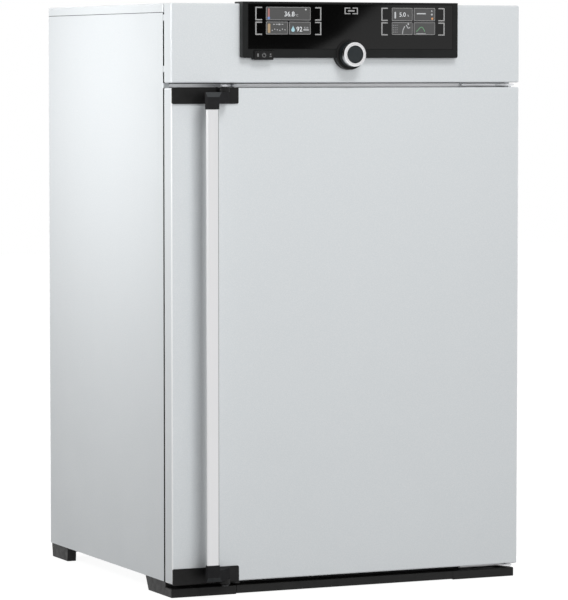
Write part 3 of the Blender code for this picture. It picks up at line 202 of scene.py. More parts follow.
def round_edges(bm, edges, radius, segments):
    """Round some edges of a shape with an arc of so many flats."""
    bmesh.ops.bevel(bm, geom=edges, offset=radius, offset_type="OFFSET", segments=segments,
                    profile=0.5, affect="EDGES", clamp_overlap=True, material=-1)


def placed(name, bm, body, *materials):
    """Turn a finished bmesh into a smooth-shaded piece that rides on a body of the cabinet."""
    mesh = bpy.data.meshes.new(name)
    bm.to_mesh(mesh)
    bm.free()
    for material in materials:
        mesh.materials.append(material)
    mesh.shade_smooth()
    mesh.set_sharp_from_angle(angle=SHARP_ANGLE)
    piece = bpy.data.objects.new(name, mesh)
    bpy.context.scene.collection.objects.link(piece)
    level_faces = piece.modifiers.new("level_faces", "WEIGHTED_NORMAL")
    level_faces.keep_sharp = True
    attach(piece, body)
    return piece


def finish(name, colour, roughness, metallic=0.0):
    """A new material with its shader, ready for a pattern."""
    material = bpy.data.materials.new(name)
    material.use_nodes = True
    shader = material.node_tree.nodes["Principled BSDF"]
    shader.inputs["Base Color"].default_value = (*colour, 1)
    shader.inputs["Roughness"].default_value = roughness
    shader.inputs["Metallic"].default_value = metallic
    return material


def dull(material, share):
    """Weaken the sheen of a grained or soft-touch plastic."""
    material.node_tree.nodes["Principled BSDF"].inputs["Specular IOR Level"].default_value = share


def noise(material, scale, detail=2.0, stretch=(1, 1, 1), rough=0.5):
    """Noise over the object's own coordinates, drawn out along an axis where stretch is small."""
    tree = material.node_tree
    place = tree.nodes.new("ShaderNodeTexCoord")
    turn = tree.nodes.new("ShaderNodeMapping")
    turn.inputs["Scale"].default_value = stretch
    cloud = tree.nodes.new("ShaderNodeTexNoise")
    cloud.inputs["Scale"].default_value = scale
    cloud.inputs["Detail"].default_value = detail
    cloud.inputs["Roughness"].default_value = rough
    tree.links.new(place.outputs["Object"], turn.inputs["Vector"])
    tree.links.new(turn.outputs["Vector"], cloud.inputs["Vector"])
    return cloud.outputs["Fac"]


def vary_colour(material, source, dark, light, low=0.3, high=0.7):
    """Let the colour drift between two shades as the pattern goes from low to high."""
    tree = material.node_tree
    ramp = tree.nodes.new("ShaderNodeValToRGB")
    ramp.color_ramp.elements[0].position = low
    ramp.color_ramp.elements[0].color = (*dark, 1)
    ramp.color_ramp.elements[1].position = high
    ramp.color_ramp.elements[1].color = (*light, 1)
    tree.links.new(source, ramp.inputs["Fac"])
    tree.links.new(ramp.outputs["Color"], tree.nodes["Principled BSDF"].inputs["Base Color"])


def vary_roughness(material, source, low, high):
    """Let the roughness follow the pattern."""
    tree = material.node_tree
    span = tree.nodes.new("ShaderNodeMapRange")
    span.inputs["From Min"].default_value = 0.3
    span.inputs["From Max"].default_value = 0.7
    span.inputs["To Min"].default_value = low
    span.inputs["To Max"].default_value = high
    tree.links.new(source, span.inputs["Value"])
    tree.links.new(span.outputs["Result"], tree.nodes["Principled BSDF"].inputs["Roughness"])


def emboss(material, source, height):
    """Raise and sink the surface by the pattern, height in metres."""
    tree = material.node_tree
    bump = tree.nodes.new("ShaderNodeBump")
    bump.inputs["Distance"].default_value = height
    tree.links.new(source, bump.inputs["Height"])
    tree.links.new(bump.outputs["Normal"], tree.nodes["Principled BSDF"].inputs["Normal"])


foot_moulding = finish("black_foot_moulding", (0.010, 0.010, 0.010), 0.5)
dull(foot_moulding, 0.22)
vary_colour(foot_moulding, noise(foot_moulding, 40), (0.008, 0.008, 0.008), (0.012, 0.012, 0.012))
vary_roughness(foot_moulding, noise(foot_moulding, 90), 0.42, 0.55)
emboss(foot_moulding, noise(foot_moulding, 1500, 1), 0.00006)
for node in ("foot_front_left", "foot_front_right", "foot_rear_left", "foot_rear_right"):
    eased(node, 0.0012, "cabinet", foot_moulding)
eased("rear_crossbar", 0.0008, "cabinet", foot_moulding)
# The plinth's ends are pushed into the seams beside the feet, so that no light comes through.
PLINTH_REACH, PLINTH_END = 0.0006, 0.001
plinth = eased("front_plinth", 0.0008, "cabinet", foot_moulding)
plinth_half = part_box("front_plinth")[1].x
for vert in plinth.data.vertices:
    if abs(vert.co.x) > plinth_half - PLINTH_END:
        vert.co.x += math.copysign(PLINTH_REACH, vert.co.x)


# Casing: side sheets, cover and header are stainless steel with a fine linen embossing, rolled
# into the coil before the sheets are folded. Every fold has an outside radius of about 3 mm.
EMBOSS_PITCH = 0.0016
linen_steel = finish("linen_embossed_steel", (0.66, 0.69, 0.71), 0.42, 0.2)


def linen(material, pitch, height, dark, light):
    """Raised threads that cross each other, uneven as in rolled linen embossing."""
    tree = material.node_tree
    weave = noise(material, 1 / pitch, 2.0, (0.6, 0.6, 1.25), 0.6)
    cells = tree.nodes.new("ShaderNodeTexVoronoi")
    cells.inputs["Scale"].default_value = 0.75 / pitch
    place = tree.nodes.new("ShaderNodeTexCoord")
    tree.links.new(place.outputs["Object"], cells.inputs["Vector"])
    mixed = tree.nodes.new("ShaderNodeMix")
    mixed.inputs["Factor"].default_value = 0.45
    tree.links.new(weave, mixed.inputs["A"])
    tree.links.new(cells.outputs["Distance"], mixed.inputs["B"])
    emboss(material, mixed.outputs["Result"], height)
    vary_colour(material, mixed.outputs["Result"], dark, light, 0.25, 0.65)


linen(linen_steel, EMBOSS_PITCH, 0.00012, (0.635, 0.67, 0.69), (0.69, 0.715, 0.73))
vary_roughness(linen_steel, noise(linen_steel, 14), 0.38, 0.46)
FOLD_RADIUS = 0.0032
SIDE_FOLD_RADIUS = 0.0015
SHEET = 0.0015
SEAM = 0.0008                      # between a side sheet's upper edge and the cover
FRONT_FLANGE, REAR_FLANGE = 0.012, 0.015
SEAM_SHADE_HEIGHT, SEAM_SHADE_INSET = 0.003, 0.002
GAP_LOW, GAP_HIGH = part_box("door_outer_skin")[1].z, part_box("header_panel")[0].z
# A near-black paint for the gaps beside the door and under the cover, standing for painted shade
# there.
gap_shade_paint = finish("black_gap_shade_paint", (0.010, 0.010, 0.010), 0.7)
dull(gap_shade_paint, 0.15)
vary_colour(gap_shade_paint, noise(gap_shade_paint, 300), (0.007, 0.007, 0.007), (0.013, 0.013, 0.013))


def add_box(bm, low, high):
    """Add a box between two corners and return its corners."""
    middle = [(start + end) / 2 for start, end in zip(low, high)]
    size = [end - start for start, end in zip(low, high)]
    return bmesh.ops.create_cube(bm, size=1, matrix=Matrix.Translation(middle)
                                 @ Matrix.Diagonal((*size, 1)))["verts"]


def folded_tray(name, low, high, open_side, body, material, tabs=()):
    """A sheet pressed into a tray: outside edges rounded, one side open, walls one sheet thick."""
    bm = bmesh.new()
    add_box(bm, low, high)
    index = "XYZ".index(open_side[1])
    sign = 1 if open_side[0] == "+" else -1
    mouth = max(bm.faces, key=lambda face: sign * face.calc_center_median()[index])
    bends = [edge for edge in bm.edges if mouth not in edge.link_faces]
    bmesh.ops.delete(bm, geom=[mouth], context="FACES_ONLY")
    round_edges(bm, bends, FOLD_RADIUS, 4)
    bmesh.ops.recalc_face_normals(bm, faces=bm.faces[:])
    middle = (Vector(low) + Vector(high)) / 2
    face = max(bm.faces, key=lambda face: face.calc_area())
    if face.normal.dot(face.calc_center_median() - middle) < 0:
        bmesh.ops.reverse_faces(bm, faces=bm.faces[:])
    bmesh.ops.solidify(bm, geom=bm.faces[:], thickness=SHEET)
    for tab in tabs:
        add_box(bm, *tab)
    return placed(name, bm, body, material)


def folded_side(name, side):
    """A side sheet with a return flange at front and rear. A near-black paint on the front flange,
    except in the gap above the door, and a near-black strip in the seam under the cover are painted
    shade in these gaps."""
    low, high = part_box(name)
    high.z -= SEAM
    outer = low.x if side < 0 else high.x
    bm = bmesh.new()
    path = [(outer - side * FRONT_FLANGE, low.y), (outer, low.y),
            (outer, high.y), (outer - side * REAR_FLANGE, high.y)]
    verts = [bm.verts.new((x, y, low.z)) for x, y in path]
    edges = [bm.edges.new(pair) for pair in zip(verts, verts[1:])]
    grown = bmesh.ops.extrude_edge_only(bm, edges=edges)
    tops = [part for part in grown["geom"] if isinstance(part, bmesh.types.BMVert)]
    bmesh.ops.translate(bm, verts=tops, vec=(0, 0, high.z - low.z))
    bends = [edge for edge in bm.edges if len(edge.link_faces) == 2]
    round_edges(bm, bends, SIDE_FOLD_RADIUS, 4)
    bmesh.ops.recalc_face_normals(bm, faces=bm.faces[:])
    face = max(bm.faces, key=lambda face: face.calc_area())
    if face.normal.x * side < 0:
        bmesh.ops.reverse_faces(bm, faces=bm.faces[:])
    bmesh.ops.solidify(bm, geom=bm.faces[:], thickness=SHEET)
    for level in (GAP_LOW, GAP_HIGH):
        bmesh.ops.bisect_plane(bm, geom=bm.verts[:] + bm.edges[:] + bm.faces[:],
                               plane_co=(0, 0, level), plane_no=(0, 0, 1))
    seam_shade_x = outer - side * SHEET / 2
    half_seam_shade = SEAM_SHADE_HEIGHT / 2
    seam_shade_verts = add_box(bm, (seam_shade_x - SHEET / 4, low.y + SEAM_SHADE_INSET, high.z - half_seam_shade),
                         (seam_shade_x + SHEET / 4, high.y - SEAM_SHADE_INSET, high.z + half_seam_shade))
    seam_shade_faces = {face for vert in seam_shade_verts for face in vert.link_faces}
    # Painted shade: the seam strip, and the front flange's faces except in the gap above the door,
    # take the near-black paint.
    for face in bm.faces:
        middle = face.calc_center_median()
        front = face.normal.y < -0.5 and middle.y < low.y + SHEET
        if face in seam_shade_faces or front and not GAP_LOW < middle.z < GAP_HIGH:
            face.material_index = 1
    piece = placed(name + "_sheet", bm, "cabinet", linen_steel, gap_shade_paint)
    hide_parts(name)


folded_side("left_side_panel", -1)
folded_side("right_side_panel", 1)
cover = folded_tray("top_cover_sheet", *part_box("top_cover"), "-Z", "cabinet", linen_steel)
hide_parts("top_cover")

# Rear sheet, floor pan and front frame: plain stainless sheet, brushed along its length.
plain_steel = finish("brushed_steel_sheet", (0.66, 0.67, 0.69), 0.36, 0.35)
streaks = noise(plain_steel, 700, 3, (1, 1, 0.006), 0.6)
vary_colour(plain_steel, streaks, (0.635, 0.645, 0.665), (0.685, 0.695, 0.715))
vary_roughness(plain_steel, streaks, 0.32, 0.42)
emboss(plain_steel, streaks, 0.00003)
for node in ("rear_panel", "floor_pan"):
    eased(node, 0, "cabinet", plain_steel)
# The front frame and the hinge plates: bright stainless, painted paler still as painted light, so
# that the frame's strip seen in the gap above the door looks lit.
frame_steel_painted_light = finish("bright_frame_steel_painted_light", (0.86, 0.87, 0.89), 0.24, 0.45)
streaks = noise(frame_steel_painted_light, 700, 3, (0.006, 1, 1), 0.6)
vary_colour(frame_steel_painted_light, streaks, (0.84, 0.85, 0.87), (0.88, 0.89, 0.91))
vary_roughness(frame_steel_painted_light, noise(frame_steel_painted_light, 30), 0.22, 0.27)
eased("front_frame", 0, "cabinet", frame_steel_painted_light)


def flat_bar(bm, x0, x1, z0, z1, back, thickness):
    """Add a thin plate that faces the front and return its corners."""
    return add_box(bm, (x0, back - thickness, z0), (x1, back, z1))


# Two thin near-black strips on the frame, behind the header's lower edge and behind the door's top:
# painted shade in the gap under the header and above the door.
SHADE_STRIP, SHADE_STRIP_HIDDEN = 0.00015, 0.0020
SHADE_STRIP_SHOWN_ABOVE, SHADE_STRIP_SHOWN_BELOW = 0.0017, 0.0009
frame_low, frame_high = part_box("front_frame")
shade_strips = bmesh.new()
for low, high in ((GAP_HIGH - SHADE_STRIP_SHOWN_ABOVE, GAP_HIGH + SHADE_STRIP_HIDDEN),
                  (GAP_LOW - SHADE_STRIP_HIDDEN, GAP_LOW + SHADE_STRIP_SHOWN_BELOW)):
    flat_bar(shade_strips, frame_low.x, frame_high.x, low, high, frame_low.y, SHADE_STRIP)
placed("gap_shade_strips", shade_strips, "cabinet", gap_shade_paint)


# Mineral wool round the chamber and in the door: pressed yellow-brown fibres. Foil lines the
# jacket's inside and its front edge, which shows as a line round the chamber's mouth.
wool = finish("mineral_wool", (0.60, 0.50, 0.28), 0.95)
fibres = noise(wool, 160, 5, (0.4, 1, 1), 0.75)
vary_colour(wool, fibres, (0.42, 0.34, 0.17), (0.70, 0.61, 0.38))
emboss(wool, fibres, 0.0015)
foil = finish("aluminium_foil", (0.62, 0.62, 0.63), 0.4, 0.6)
vary_colour(foil, noise(foil, 90), (0.58, 0.58, 0.59), (0.66, 0.66, 0.67))
vary_roughness(foil, noise(foil, 200), 0.34, 0.46)
eased("door_insulation", 0, "door", wool)
jacket = eased("insulation_jacket", 0, "cabinet", wool)
jacket.data.materials.append(foil)
jacket_middle = sum(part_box("insulation_jacket"), Vector()) / 2
for face in jacket.data.polygons:
    if face.normal.y < -0.9 or face.normal.dot(face.center - jacket_middle) < 0:
        face.material_index = 1


# Chamber, shelves and hood: mirror-bright stainless steel, drawn and electropolished.
polished = finish("polished_steel", (0.72, 0.73, 0.74), 0.2, 1.0)
swirl = noise(polished, 6, 2)
vary_colour(polished, swirl, (0.70, 0.71, 0.72), (0.74, 0.75, 0.76))
vary_roughness(polished, swirl, 0.18, 0.22)
for node, body in (("inner_chamber", "cabinet"), ("door_liner", "door"),
                   ("shelf_lower", "cabinet"), ("shelf_middle", "cabinet"),
                   ("shelf_upper", "cabinet"), ("fan_cover", "cabinet")):
    eased(node, 0, body, polished)

# Seals: grey silicone, extruded, with a matt skin that gathers a little dust.
silicone = finish("grey_silicone", (0.30, 0.30, 0.29), 0.65)
vary_colour(silicone, noise(silicone, 60), (0.26, 0.26, 0.25), (0.34, 0.34, 0.33))
emboss(silicone, noise(silicone, 700, 1), 0.00004)
eased("chamber_seal", 0.0010, "cabinet", silicone)
eased("door_gasket", 0.0018, "door", silicone)


# Air circulation: a light-alloy wheel on a long shaft, its motor behind the wool, and the hood.
light_alloy = finish("light_alloy", (0.74, 0.74, 0.73), 0.3, 0.9)
vary_colour(light_alloy, noise(light_alloy, 120), (0.70, 0.70, 0.69), (0.79, 0.79, 0.78))
vary_roughness(light_alloy, noise(light_alloy, 300), 0.25, 0.36)
eased("fan_rotor", 0, "fan", light_alloy)
eased("fan_motor", 0.0006, "cabinet", plain_steel)
eased("sensor_probe", 0.0004, "cabinet", light_alloy)

# Gas and mains entries at the rear: turned brass fittings and a black moulded socket.
brass = finish("turned_brass", (0.60, 0.43, 0.17), 0.28, 1.0)
vary_colour(brass, noise(brass, 80), (0.54, 0.38, 0.14), (0.66, 0.48, 0.20))
vary_roughness(brass, noise(brass, 500), 0.22, 0.34)
for node, body in (("gas_inlet", "cabinet"), ("gas_valve", "cabinet"),
                   ("door_bush_upper", "door"), ("door_bush_lower", "door")):
    eased(node, 0.0004, body, brass)
black_moulding = finish("black_moulding", (0.009, 0.009, 0.009), 0.42)
dull(black_moulding, 0.18)
vary_colour(black_moulding, noise(black_moulding, 50), (0.007, 0.007, 0.007), (0.011, 0.011, 0.011))
vary_roughness(black_moulding, noise(black_moulding, 120), 0.36, 0.48)
emboss(black_moulding, noise(black_moulding, 1800, 1), 0.00004)
eased("mains_inlet", 0.0003, "cabinet", black_moulding)
eased("power_supply", 0.0006, "cabinet", plain_steel)


# Door hinges: thick bright steel, screwed to the front frame and the foot. On the handle's side the
# upper strike is zinc-plated; the lower one, near the foot, is painted near black as painted shade.
for node in ("hinge_plate_upper", "hinge_plate_lower"):
    eased(node, 0.0004, "cabinet", frame_steel_painted_light)
zinc_steel = finish("zinc_plated_steel", (0.52, 0.53, 0.55), 0.5, 0.1)
vary_colour(zinc_steel, noise(zinc_steel, 150), (0.49, 0.50, 0.52), (0.55, 0.56, 0.58))
vary_roughness(zinc_steel, noise(zinc_steel, 400), 0.45, 0.55)
# Near-black steel for the lower strike and the levers: painted shade, where these parts lie in
# shadow.
shade_dark_steel = finish("painted_shade_dark_steel", (0.012, 0.012, 0.013), 0.45)
dull(shade_dark_steel, 0.3)
vary_colour(shade_dark_steel, noise(shade_dark_steel, 200), (0.010, 0.010, 0.011), (0.014, 0.014, 0.015))
for node, metal in (("strike_upper", zinc_steel), ("strike_lower", shade_dark_steel)):
    eased(node, 0.0004, "cabinet", metal)


# Door: a pressed outer skin of the linen-embossed sheet, filled with wool and closed by a liner.
door_low, door_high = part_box("door_outer_skin")
skin = folded_tray("door_skin_sheet", door_low, door_high, "+Y", "door", linen_steel)
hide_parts("door_outer_skin")
# The door's upright folds, facing half sideways, are painted a paler steel: a painted highlight
# along these edges.
fold_highlight_steel = finish("painted_fold_highlight_steel", (0.86, 0.87, 0.88), 0.36, 0.2)
vary_colour(fold_highlight_steel, noise(fold_highlight_steel, 200), (0.85, 0.86, 0.87), (0.87, 0.88, 0.89))
skin.data.materials.append(fold_highlight_steel)
for face in skin.data.polygons:
    if abs(face.normal.z) < 0.3 and 0.5 < abs(face.normal.x) < 0.99:
        face.material_index = 1


# Handle brackets and arms: black mouldings on the door's corners, the arms with a soft-touch skin.
# Levers: steel painted near black as painted shade, except the upper one's plate, which turns in
# the gap and keeps the zinc colour.
soft_moulding = finish("soft_black_moulding", (0.022, 0.022, 0.023), 0.8)
dull(soft_moulding, 0.02)
vary_colour(soft_moulding, noise(soft_moulding, 80), (0.020, 0.020, 0.021), (0.024, 0.024, 0.025))
emboss(soft_moulding, noise(soft_moulding, 1800, 1), 0.00004)
# The arms' slanted faces, which face the front and up or down, are painted a little paler: painted
# light where the light falls on them.
lit_face_moulding = finish("painted_light_black_moulding", (0.048, 0.051, 0.053), 0.7)
dull(lit_face_moulding, 0.1)
vary_colour(lit_face_moulding, noise(lit_face_moulding, 80), (0.044, 0.047, 0.049), (0.052, 0.055, 0.057))
for end in ("upper", "lower"):
    eased("handle_bracket_" + end, 0.0008, "door", black_moulding)
    arm = eased("handle_arm_" + end, 0.0009, "handle", soft_moulding)
    arm.data.materials.append(lit_face_moulding)
    for face in arm.data.polygons:
        if face.normal.y < -0.3 and abs(face.normal.z) > 0.4:
            face.material_index = 1
    lever = eased("latch_lever_" + end, 0.0005, "handle", shade_dark_steel)
    lever.data.materials.append(zinc_steel)
    for face in lever.data.polygons:
        if face.center.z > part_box("handle_bracket_upper")[1].z:
            face.material_index = 1

# Handle bar: a flat tube of smooth, finely brushed steel with well rounded long edges, the right
# front one painted darker: painted shade on the edge that turns away from the light.
bar_steel = finish("satin_bar_steel", (0.74, 0.74, 0.75), 0.3, 0.5)
grain = noise(bar_steel, 700, 3, (1, 1, 0.01), 0.6)
vary_colour(bar_steel, grain, (0.735, 0.735, 0.745), (0.75, 0.75, 0.76))
vary_roughness(bar_steel, grain, 0.29, 0.32)
BAR_EDGE_RADIUS = 0.0038
bar_low, bar_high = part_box("handle_bar")
bm = bmesh.new()
add_box(bm, bar_low, bar_high)
long_edges = [edge for edge in bm.edges if edge.calc_length() > (bar_high.z - bar_low.z) / 2]
round_edges(bm, long_edges, BAR_EDGE_RADIUS, 5)
bar_edge_shade_steel = finish("painted_shade_bar_edge", (0.28, 0.28, 0.29), 0.35, 0.3)
vary_colour(bar_edge_shade_steel, noise(bar_edge_shade_steel, 300), (0.26, 0.26, 0.27), (0.30, 0.30, 0.31))
for face in bm.faces:
    if face.normal.x > 0.3 and face.normal.y < -0.2:
        face.material_index = 1
bar = placed("handle_bar_tube", bm, "handle", bar_steel, bar_edge_shade_steel)
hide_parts("handle_bar")


# Inner door: one pane of clear tempered glass with ground edges, held by two polished clamps
# that turn on posts of the front frame, and closed by a black quarter-turn latch.
clear_glass = finish("clear_tempered_glass", (0.93, 0.97, 0.95), 0.03)
glass_shader = clear_glass.node_tree.nodes["Principled BSDF"]
glass_shader.inputs["Transmission Weight"].default_value = 1.0
glass_shader.inputs["IOR"].default_value = 1.5
vary_roughness(clear_glass, noise(clear_glass, 12), 0.015, 0.04)
eased("inner_glass_door", 0.0006, "inner_door", clear_glass)
for end in ("upper", "lower"):
    eased("inner_hinge_clamp_" + end, 0.0004, "inner_door", polished)
    eased("inner_hinge_post_" + end, 0.0003, "cabinet", polished)
eased("inner_latch", 0.0006, "inner_latch", black_moulding)


# Header: a shallow tray of the same embossed sheet above the door, held off the casing by tabs.
TAB_HEIGHTS, TAB_HALF = (1.058, 1.160), 0.006
TAB_INSET, TAB_LAP, TAB_GAP = 0.0002, 0.004, 0.0003
header_low, header_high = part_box("header_panel")
case_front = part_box("top_cover")[0].y
tray_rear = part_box("door_outer_skin")[1].y
tabs = []
for side in (-1, 1):
    left, right = sorted((side * (header_high.x - TAB_INSET), side * (header_high.x - SHEET)))
    for height in TAB_HEIGHTS:
        tabs.append(((left, tray_rear - TAB_LAP, height - TAB_HALF),
                     (right, case_front - TAB_GAP, height + TAB_HALF)))
header = folded_tray("header_sheet", header_low, (header_high.x, tray_rear, header_high.z), "+Y",
                     "cabinet", linen_steel, tabs)
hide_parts("header_panel")

# Control board behind the header: green laminate with its black and metal parts.
laminate = finish("green_laminate", (0.02, 0.12, 0.05), 0.45)
vary_colour(laminate, noise(laminate, 500, 4), (0.015, 0.09, 0.035), (0.035, 0.16, 0.07))
vary_roughness(laminate, noise(laminate, 700), 0.35, 0.55)
eased("control_board", 0, "cabinet", laminate)


# Cockpit: a satin anthracite moulding hooked over the header by its lip, with black glass in it.
anthracite = finish("anthracite_moulding", (0.0085, 0.009, 0.009), 0.38)
dull(anthracite, 0.18)
vary_colour(anthracite, noise(anthracite, 30), (0.007, 0.0075, 0.0075), (0.010, 0.0105, 0.0105))
vary_roughness(anthracite, noise(anthracite, 80), 0.33, 0.43)
emboss(anthracite, noise(anthracite, 2200, 1), 0.00003)
eased("cockpit_housing", 0.0008, "cabinet", anthracite)
black_glass = finish("black_printed_glass", (0.0015, 0.0015, 0.0015), 0.05)
dull(black_glass, 0.4)
vary_roughness(black_glass, noise(black_glass, 8), 0.035, 0.06)
black_glass.node_tree.nodes["Principled BSDF"].inputs["IOR"].default_value = 1.45
eased("cockpit_glass", 0.0004, "cabinet", black_glass)

# Displays: two dark screens flush behind the glass, each laid out in tiles with values.
screen = finish("display_screen", (0.010, 0.010, 0.011), 0.12)
vary_roughness(screen, noise(screen, 50), 0.10, 0.15)
for node in ("display_left", "display_right"):
    eased(node, 0, "cabinet", screen)

GLASS_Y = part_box("cockpit_glass")[0].y
SCREEN_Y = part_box("display_left")[0].y
TILE, MARK = 0.00010, 0.00008    # thickness of a tile and of a mark on it
TILE_EDGE = 0.0006
FIGURE_SHARE = 0.72              # height of a figure in a font of size 1
FACE_Y = SCREEN_Y - TILE


def printed(name, colour, glow=0.0):
    """Ink or lit pixels of one colour, a little uneven."""
    material = finish(name, colour, 0.35)
    shade = [channel * 0.88 for channel in colour]
    vary_colour(material, noise(material, 900, 1), shade, colour)
    if glow:
        shader = material.node_tree.nodes["Principled BSDF"]
        shader.inputs["Emission Color"].default_value = (*colour, 1)
        shader.inputs["Emission Strength"].default_value = glow
    return material


tile_grey = printed("tile_grey", (0.055, 0.055, 0.055), 0.2)
edge_grey = printed("tile_edge_grey", (0.34, 0.34, 0.34), 0.3)
lit_white = printed("lit_white", (0.72, 0.74, 0.76), 0.2)
lit_pale = printed("lit_pale", (0.47, 0.48, 0.49), 0.15)
lit_red = printed("lit_red", (0.34, 0.15, 0.14), 0.1)
lit_blue = printed("lit_blue", (0.16, 0.24, 0.48), 0.15)
lit_tan = printed("lit_tan", (0.38, 0.28, 0.17), 0.1)
lit_teal = printed("lit_teal", (0.32, 0.52, 0.58), 0.2)
lit_green = printed("lit_green", (0.16, 0.38, 0.20), 0.15)
lit_orange = printed("lit_orange", (0.52, 0.26, 0.12), 0.2)
print_grey = printed("key_print_grey", (0.34, 0.34, 0.34))
sign_grey = printed("power_sign_grey", (0.20, 0.20, 0.20))


UPRIGHT = Matrix.Rotation(math.radians(90), 4, "X")


def rounded_plate(bm, x0, x1, z0, z1, radius, back, thickness):
    """Add a thin plate with round corners that faces the front."""
    verts = flat_bar(bm, x0, x1, z0, z1, back, thickness)
    corners = [edge for edge in {edge for vert in verts for edge in vert.link_edges}
               if abs(edge.verts[0].co.y - edge.verts[1].co.y) > thickness / 2]
    round_edges(bm, corners, radius, 4)


def disc(bm, x, z, radius, back, thickness, steps=16):
    """Add a thin round plate that faces the front."""
    place = Matrix.Translation((x, back - thickness / 2, z))
    bmesh.ops.create_cone(bm, cap_ends=True, segments=steps, radius1=radius, radius2=radius,
                          depth=thickness, matrix=place @ UPRIGHT)


def segment(bm, x0, z0, x1, z1, width, longer):
    """Add a straight stroke on the screen's face, a little longer than from point to point."""
    place = Matrix.Translation(((x0 + x1) / 2, FACE_Y - MARK / 2, (z0 + z1) / 2))
    turn = Matrix.Rotation(-math.atan2(z1 - z0, x1 - x0), 4, "Y")
    size = Matrix.Diagonal((math.hypot(x1 - x0, z1 - z0) + longer, MARK, width, 1))
    bmesh.ops.create_cube(bm, size=1, matrix=place @ turn @ size)


def lettering(name, text, x, z, height, material):
    """Plain figures as a thin mesh on the screen's face, their left lower corner at x and z."""
    curve = bpy.data.curves.new(name, "FONT")
    curve.body = text
    curve.size = height / FIGURE_SHARE
    curve.extrude = MARK / 2
    writing = bpy.data.objects.new(name + "_curve", curve)
    bpy.context.scene.collection.objects.link(writing)
    mesh = bpy.data.meshes.new_from_object(writing)
    bpy.data.objects.remove(writing)
    bpy.data.curves.remove(curve)
    bm = bmesh.new()
    bm.from_mesh(mesh)
    bpy.data.meshes.remove(mesh)
    place = Matrix.Translation((x, FACE_Y - MARK / 2, z))
    bmesh.ops.transform(bm, verts=bm.verts[:], matrix=place @ UPRIGHT)
    placed(name, bm, "cabinet", material)


# Left screen: a wide tile above two narrow ones. Right screen: four tiles.
UPPER_ROW, LOWER_ROW = (1.1556, 1.1815), (1.1274, 1.1522)
fill, rim = bmesh.new(), bmesh.new()
for x0, x1, (z0, z1) in ((-0.1904, -0.0928, UPPER_ROW), (-0.1904, -0.1426, LOWER_ROW),
                         (-0.1394, -0.0928, LOWER_ROW), (0.0893, 0.1354, UPPER_ROW),
                         (0.1392, 0.1869, UPPER_ROW), (0.0893, 0.1354, LOWER_ROW),
                         (0.1392, 0.1869, LOWER_ROW)):
    rounded_plate(rim, x0, x1, z0, z1, 0.0016, SCREEN_Y, TILE / 2)
    rounded_plate(fill, x0 + TILE_EDGE, x1 - TILE_EDGE, z0 + TILE_EDGE, z1 - TILE_EDGE,
                  0.0012, SCREEN_Y, TILE)
placed("tile_borders", rim, "cabinet", edge_grey)
placed("tile_fills", fill, "cabinet", tile_grey)


# What the left screen shows: a temperature bar, the chamber's temperature, a fan-speed column
# with its line of dots, and the humidity beside a drop.
marks = bmesh.new()
rounded_plate(marks, -0.1866, -0.1826, 1.1588, 1.1790, 0.0019, FACE_Y, MARK)
placed("thermometer_tube", marks, "cabinet", lit_red)
marks = bmesh.new()
disc(marks, -0.1846, 1.1596, 0.0028, FACE_Y - MARK / 2, MARK)
placed("thermometer_bulb", marks, "cabinet", lit_blue)
marks = bmesh.new()
rounded_plate(marks, -0.1868, -0.1812, 1.1300, 1.1484, 0.0014, FACE_Y, MARK)
rounded_plate(marks, -0.1856, -0.1824, 1.1322, 1.1484, 0.0012, FACE_Y - MARK / 2, MARK)
placed("fan_speed_column", marks, "cabinet", lit_tan)
marks = bmesh.new()
for number in range(6):
    rise = 0.0012 * ((number * 5) % 3 - 1)
    disc(marks, -0.1770 + number * 0.0056, 1.1362 + rise, 0.0011, FACE_Y, MARK, 10)
for number in range(4):
    shift = number * 0.0062
    flat_bar(marks, -0.1752 + shift, -0.1712 + shift, 1.1466, 1.1477, FACE_Y, MARK)
disc(marks, -0.1618, 1.1471, 0.0016, FACE_Y - MARK / 2, MARK, 12)
disc(marks, -0.1032, 1.1770, 0.0018, FACE_Y, MARK, 12)
flat_bar(marks, -0.1086, -0.0962, 1.1352, 1.1372, FACE_Y, MARK)
placed("left_screen_marks", marks, "cabinet", lit_pale)
DROP_RADIUS = 0.0040
drop = bmesh.new()
bmesh.ops.create_circle(drop, cap_ends=True, segments=24, radius=DROP_RADIUS)
for vert in drop.verts:
    if vert.co.y > 0:
        vert.co.x *= 1 - vert.co.y / DROP_RADIUS * 0.98
        vert.co.y *= 2.2
place = Matrix.Translation((-0.1312, FACE_Y - MARK, 1.1362))
bmesh.ops.transform(drop, verts=drop.verts[:], matrix=place @ UPRIGHT)
bmesh.ops.solidify(drop, geom=drop.faces[:], thickness=MARK)
bmesh.ops.recalc_face_normals(drop, faces=drop.faces[:])
placed("humidity_drop", drop, "cabinet", lit_teal)
lettering("temperature_value", "36.8", -0.1510, 1.1632, 0.0098, lit_white)
lettering("temperature_unit", "°C", -0.1268, 1.1632, 0.0046, lit_pale)
lettering("humidity_value", "92", -0.1242, 1.1330, 0.0098, lit_white)
lettering("humidity_unit", "% rh", -0.1072, 1.1388, 0.0038, lit_pale)

